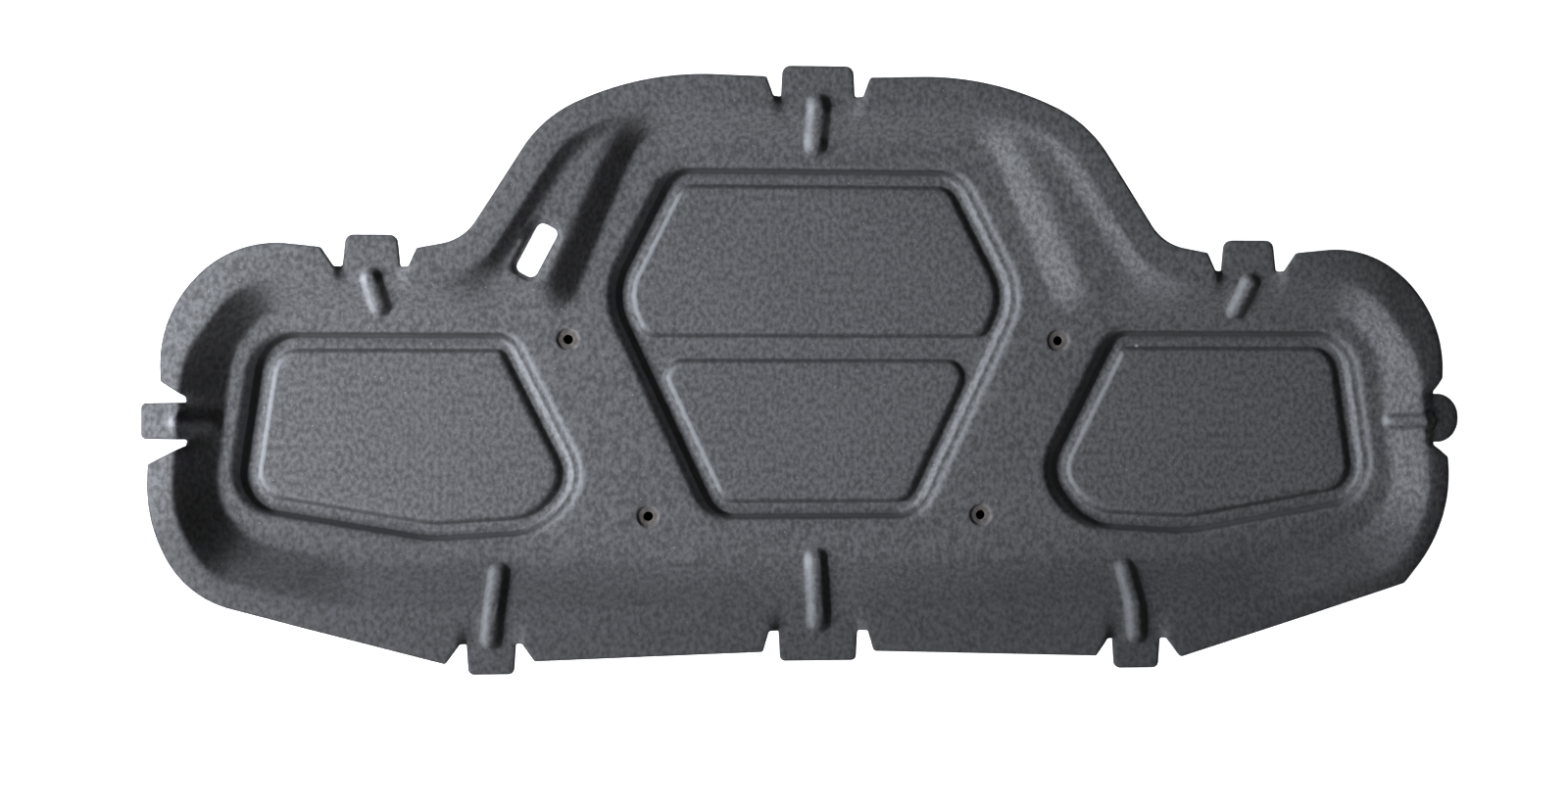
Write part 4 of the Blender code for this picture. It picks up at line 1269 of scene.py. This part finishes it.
class Graph:
    """The node tree of one material or world."""

    def __init__(self, tree: bpy.types.NodeTree) -> None:
        """Empties the tree and starts afresh."""
        self.tree = tree
        tree.nodes.clear()

    def node(
        self,
        kind: str,
        settings: dict[str, object] | None = None,
        values: dict[int | str, object] | None = None,
        output: int | str = 0,
    ) -> Wire:
        """Adds a node.

        Args:
            kind: The node's type.
            settings: Its properties. A ramp's stops are given as "stops".
            values: The values or wires of its input sockets.
            output: Which of its outputs to return.

        Returns:
            The node's output.
        """
        made = self.tree.nodes.new(kind)
        for name, value in (settings or {}).items():
            if name == "stops":
                self._set_stops(made.color_ramp, value)
            else:
                setattr(made, name, value)
        for name, value in (values or {}).items():
            if isinstance(value, Wire):
                self.tree.links.new(value.socket, made.inputs[name])
            else:
                made.inputs[name].default_value = value
        return Wire(self, made.outputs[output] if made.outputs else made.inputs[0])

    @staticmethod
    def _set_stops(ramp: bpy.types.ColorRamp, stops: Sequence[tuple[float, float]]) -> None:
        """Gives a ramp its stops.

        Args:
            ramp: The ramp.
            stops: The place and the grey level of each stop.
        """
        while len(ramp.elements) < len(stops):
            ramp.elements.new(0.5)
        for element, (place, grey) in zip(ramp.elements, stops):
            element.position = place
            element.color = (grey, grey, grey, 1.0)

    def ramp(self, value: Wire, *stops: tuple[float, float]) -> Wire:
        """A value read through a ramp of grey stops."""
        return self.node("ShaderNodeValToRGB", {"stops": stops}, {"Fac": value})

    def fade(self, value: Wire, start: float, end: float) -> Wire:
        """1 up to the start, 0 from the end on, and even between them."""
        return self.ramp(value, (0.0, 1.0), (start, 1.0), (end, 0.0))

    def vector(self, operation: str, first: object, second: object, output: int = 0) -> Wire:
        """One Vector Math node."""
        values = {0: first, 1: second}
        return self.node("ShaderNodeVectorMath", {"operation": operation}, values, output)

    def noise(self, place: Wire, grain: Grain) -> Wire:
        """The noise of one layer of the felt."""
        values = dict(zip(("Scale", "Detail", "Roughness"), grain))
        return self.node("ShaderNodeTexNoise", None, {"Vector": place, **values})

    def mix(self, share: Wire | float, first: object, second: object) -> Wire:
        """A mix of two colours."""
        values = {"Factor": share, 6: first, 7: second}
        return self.node("ShaderNodeMix", {"data_type": "RGBA"}, values, output=2)


@dataclass(frozen=True)
class CharcoalFelt:
    """Needled charcoal felt: mottled, hairy, stained at the clip holes, with painted light and
    shade and a painted shade at its foot.
    """

    base: tuple[float, float, float] = (0.097, 0.096, 0.098)
    dark: float = 0.62
    light: float = 1.42
    lay: tuple[float, float, float] = (1.0, 0.75, 1.0)
    tufts: Grain = Grain(230.0, 1.0, 0.5, mottling=0.65, relief=0.7)
    fibres: Grain = Grain(900.0, 2.0, 0.55, mottling=0.25, relief=0.3)
    clouds: Grain = Grain(9.0, 3.0, 0.5, mottling=0.10)
    mottle_stops: tuple[float, float] = (0.37, 0.63)
    stain: tuple[float, float, float] = (0.115, 0.085, 0.058)
    stain_reach: float = 0.020
    stain_stops: tuple[float, float] = (0.40, 0.62)
    stain_share: float = 0.40
    lint: tuple[float, float, float] = (0.55, 0.56, 0.58)
    speck_scale: float = 95.0
    speck_stops: tuple[float, float] = (0.035, 0.06)
    speck_share: float = 0.5
    lint_place: tuple[float, float] = (0.3290, 0.0238)
    lint_half: float = 0.0022
    lint_stops: tuple[float, float] = (0.5, 1.0)
    lint_share: float = 0.8
    # Painted light: the shade colour, the highlight colour and their shares for the tone
    # attribute, and the painted shade towards the foot.
    shade_colour: tuple[float, float, float] = (0.008, 0.008, 0.009)
    painted_highlight: tuple[float, float, float] = (0.260, 0.268, 0.276)
    highlight_share: float = 0.75
    shade_share: float = 0.92
    foot_shade: float = 0.40
    foot_shade_from: float = -0.245
    foot_shade_climb: float = 0.12
    foot_shade_run: float = 0.05
    roughness: float = 0.95
    sheen: float = 0.12
    sheen_roughness: float = 0.6
    specular: float = 0.25
    tuft_depth: float = 0.00004

    def _shade(self, share: float) -> tuple[float, float, float, float]:
        """The base colour made darker or lighter."""
        return (*(channel * share for channel in self.base), 1.0)

    def material(self, clip_holes: Sequence[ClipHole]) -> bpy.types.Material:
        """Builds the felt's material.

        Args:
            clip_holes: The holes whose edges are stained.

        Returns:
            The material.
        """
        made = bpy.data.materials.new("charcoal_felt")
        made.use_nodes = True
        g = Graph(made.node_tree)
        place = g.node("ShaderNodeTexCoord", output="Object")
        tufts = g.noise(g.vector("MULTIPLY", place, self.lay), self.tufts)
        fibres = g.noise(place, self.fibres)
        mottle = tufts * self.tufts.mottling + fibres * self.fibres.mottling
        mottle = mottle + g.noise(place, self.clouds) * self.clouds.mottling
        dark, light = self.mottle_stops
        share = g.ramp(mottle, (dark, 0.0), (light, 1.0))
        colour = g.mix(share, self._shade(self.dark), self._shade(self.light))
        colour = self._painted_light(g, place, self._marked(g, place, colour, clip_holes))
        relief = tufts * self.tufts.relief + fibres * self.fibres.relief
        bump = g.node(
            "ShaderNodeBump", None,
            {"Height": relief, "Strength": 1.0, "Distance": self.tuft_depth},
        )
        shader = g.node(
            "ShaderNodeBsdfPrincipled", None,
            {
                "Base Color": colour, "Roughness": self.roughness, "Normal": bump,
                "Sheen Weight": self.sheen, "Sheen Roughness": self.sheen_roughness,
                "Specular IOR Level": self.specular,
            },
        )
        g.node("ShaderNodeOutputMaterial", None, {"Surface": shader})
        return made

    def _marked(
        self, g: Graph, place: Wire, colour: Wire, clip_holes: Sequence[ClipHole]
    ) -> Wire:
        """Stains the felt round the clip holes and scatters lint on it.

        Args:
            g: The material's graph.
            place: The place on the pad.
            colour: The felt's colour.
            clip_holes: The holes whose edges are stained.

        Returns:
            The colour with the stains and the lint.
        """
        flat = g.vector("MULTIPLY", place, (1, 1, 0))
        for hole in clip_holes:
            reach = g.vector("DISTANCE", flat, (*hole.centre, 0.0), 1)
            ring = g.fade(reach * (1 / self.stain_reach), *self.stain_stops)
            colour = g.mix(ring * self.stain_share, colour, (*self.stain, 1.0))
        specks = g.node("ShaderNodeTexVoronoi", None, {"Vector": place, "Scale": self.speck_scale})
        fleck = g.fade(specks, *self.speck_stops)
        colour = g.mix(fleck * self.speck_share, colour, (*self.lint, 1.0))
        reach = g.vector("DISTANCE", flat, (*self.lint_place, 0.0), 1)
        tuft = g.fade(reach * (1 / self.lint_half), *self.lint_stops)
        return g.mix(tuft * self.lint_share, colour, (*self.lint, 1.0))

    def _painted_light(self, g: Graph, place: Wire, colour: Wire) -> Wire:
        """Paints light and shade on the felt from the tone attribute, and painted shade at its
        foot.

        Args:
            g: The material's graph.
            place: The place on the pad.
            colour: The felt's colour.

        Returns:
            The colour with the painted light and shade.
        """
        shade_colour = (*self.shade_colour, 1.0)
        rise = (0.0, 0.0), (1.0, 1.0)
        # Painted highlight where the tone is above 0, painted shade where it is below 0; the
        # darker cut edge goes through the same mix.
        tone = g.node("ShaderNodeAttribute", {"attribute_name": TONE}, output="Fac")
        colour = g.mix(g.ramp(tone, *rise) * self.highlight_share, colour, (*self.painted_highlight, 1.0))
        colour = g.mix(g.ramp(0.0 - tone, *rise) * self.shade_share, colour, shade_colour)
        # Painted shade towards the foot of the pad, below a line that climbs towards both ends.
        along = g.node("ShaderNodeSeparateXYZ", None, {"Vector": place}, output="X")
        up = g.node("ShaderNodeSeparateXYZ", None, {"Vector": place}, output="Y")
        out = g.node("ShaderNodeMath", {"operation": "ABSOLUTE"}, {0: along})
        above_foot_shade = (up - out * self.foot_shade_climb - self.foot_shade_from) * (1 / self.foot_shade_run)
        foot_shaded = g.ramp(above_foot_shade, (0.0, 1.0), (1.0, 0.0)) * self.foot_shade
        return g.mix(foot_shaded, colour, shade_colour)


@dataclass(frozen=True)
class Camera:
    """The camera at the photograph's viewing angle: straight down, a little from the left."""

    target: tuple[float, float, float] = (-0.0343, -0.0355, 0.0445)
    distance: float = 2.0
    yaw: float = math.asin(0.084)
    lens: float = 46.7

    def build(self) -> None:
        """Makes the camera and sets it as the scene's own."""
        data = bpy.data.cameras.new("camera")
        data.lens = self.lens
        camera = placed("camera", data)
        away = Vector((-math.sin(self.yaw), 0.0, math.cos(self.yaw)))
        camera.location = Vector(self.target) + away * self.distance
        camera.rotation_euler = (0.0, -self.yaw, 0.0)
        bpy.context.scene.camera = camera


@dataclass(frozen=True)
class Lamp:
    """A square soft lamp that faces a point of the pad."""

    name: str
    place: tuple[float, float, float]
    power: float
    shadows: bool = True
    aim: tuple[float, float, float] = AIM
    size: float = 0.5
    colour: tuple[float, float, float] = (0.94, 0.95, 1.0)
    spread: float = math.pi

    def build(self) -> None:
        """Makes the lamp."""
        data = bpy.data.lights.new(self.name, "AREA")
        data.size = self.size
        data.energy = self.power
        data.color = self.colour
        data.use_shadow = self.shadows
        data.spread = self.spread
        lamp = placed(self.name, data)
        lamp.location = self.place
        way = Vector(self.aim) - Vector(self.place)
        lamp.rotation_euler = way.to_track_quat("-Z", "Y").to_euler()


@dataclass(frozen=True)
class Studio:
    """A white floor, low light from the left, and a dim room.

    The key lamp and the low one cast the shadows. The three others cast none, so that the
    grooves beside the walls stay as light as in the photograph.
    """

    floor_half: float = 6.0
    floor_colour: float = 0.80
    glow: float = 0.93
    room_light: float = 0.004
    # Radius of the painted shade on the floor under each clip hole.
    hole_shade_radius: float = 0.015
    lamps: tuple[Lamp, ...] = (
        Lamp("key", KEY_PLACE, 14.0),
        Lamp("low", LOW_PLACE, 18.0),
        Lamp("fill", KEY_PLACE, 10.0, False),
        Lamp("low_fill", LOW_PLACE, 9.0, False),
        Lamp(
            "middle", (-2.355, 0.03, 0.841), 8.0, False, aim=(-0.1, 0.03, 0.02),
            colour=(0.85, 0.91, 1.0), spread=math.radians(45),
        ),
    )

    def floor(self, clip_holes: Sequence[ClipHole]) -> bpy.types.Object:
        """The floor, which looks white to the camera and keeps the pad's shadow.

        Args:
            clip_holes: The holes under which the floor is painted black, as the shade inside them.

        Returns:
            The floor's object.
        """
        bm = bmesh.new()
        bmesh.ops.create_grid(bm, x_segments=2, y_segments=2, size=self.floor_half)
        mesh = bpy.data.meshes.new("floor")
        bm.to_mesh(mesh)
        bm.free()
        mesh.materials.append(self._white(clip_holes))
        return placed("floor", mesh)

    def _seen(self, g: Graph) -> Wire:
        """1 for the rays that show the background, in the picture or in a reflection."""
        rays = ("Is Camera Ray", "Is Glossy Ray", "Is Transmission Ray")
        camera, glossy, through = (g.node("ShaderNodeLightPath", output=name) for name in rays)
        return camera + glossy + through

    def _white(self, clip_holes: Sequence[ClipHole]) -> bpy.types.Material:
        """The floor's matt white.

        Args:
            clip_holes: The holes under which the floor is painted black, as the shade inside them.

        Returns:
            The material.
        """
        made = bpy.data.materials.new("white_floor")
        made.use_nodes = True
        g = Graph(made.node_tree)
        place = g.node("ShaderNodeTexCoord", output="Object")
        clear = g.node("ShaderNodeValue")
        clear.socket.default_value = 1.0
        # Painted shade: the floor is black, with no glow, under each clip hole, so that the holes
        # look dark.
        for hole in clip_holes:
            reach = g.vector("DISTANCE", place, (*hole.centre, 0.0), 1)
            clear = clear * g.node(
                "ShaderNodeMath", {"operation": "GREATER_THAN"}, {0: reach, 1: self.hole_shade_radius}
            )
        black = (0.0, 0.0, 0.0, 1.0)
        shade = (*(self.floor_colour,) * 3, 1.0)
        shader = g.node(
            "ShaderNodeBsdfPrincipled", None,
            {
                "Base Color": g.mix(clear, black, shade), "Roughness": 1.0,
                "Specular IOR Level": 0.0, "Emission Strength": self.glow,
                "Emission Color": g.mix(clear * self._seen(g), black, (1.0, 1.0, 1.0, 1.0)),
            },
        )
        g.node("ShaderNodeOutputMaterial", None, {"Surface": shader})
        return made

    def room(self) -> None:
        """The world: dim on the pad, white to the camera."""
        world = bpy.data.worlds.new("room")
        bpy.context.scene.world = world
        world.use_nodes = True
        g = Graph(world.node_tree)
        strength = self._seen(g) * (1.0 - self.room_light) + self.room_light
        background = g.node(
            "ShaderNodeBackground", None, {"Color": (1.0, 1.0, 1.0, 1.0), "Strength": strength}
        )
        g.node("ShaderNodeOutputWorld", None, {"Surface": background})

    def build(self, clip_holes: Sequence[ClipHole]) -> None:
        """Builds the floor, the room and the lamps.

        Args:
            clip_holes: The holes under which the floor is painted black, as the shade inside them.
        """
        self.floor(clip_holes)
        self.room()
        for lamp in self.lamps:
            lamp.build()
        bpy.context.scene.view_settings.view_transform = "Standard"


def main() -> None:
    """Builds the pad and the studio, and reports each piece."""
    logging.basicConfig(level=logging.INFO, format="%(name)s: %(message)s")
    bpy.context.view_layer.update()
    sheet = FeltSheet()
    pad = sheet.build()
    pad.data.materials.append(CharcoalFelt().material(sheet.clip_holes))
    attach(pad, BODY)
    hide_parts(CAD_NODE)
    log.info("%s: %d faces", pad.name, len(pad.data.polygons))
    studio = Studio()
    studio.build(sheet.clip_holes)
    Camera().build()
    log.info("studio: floor, %d lamps and camera", len(studio.lamps))


if __name__ == "__main__":
    main()
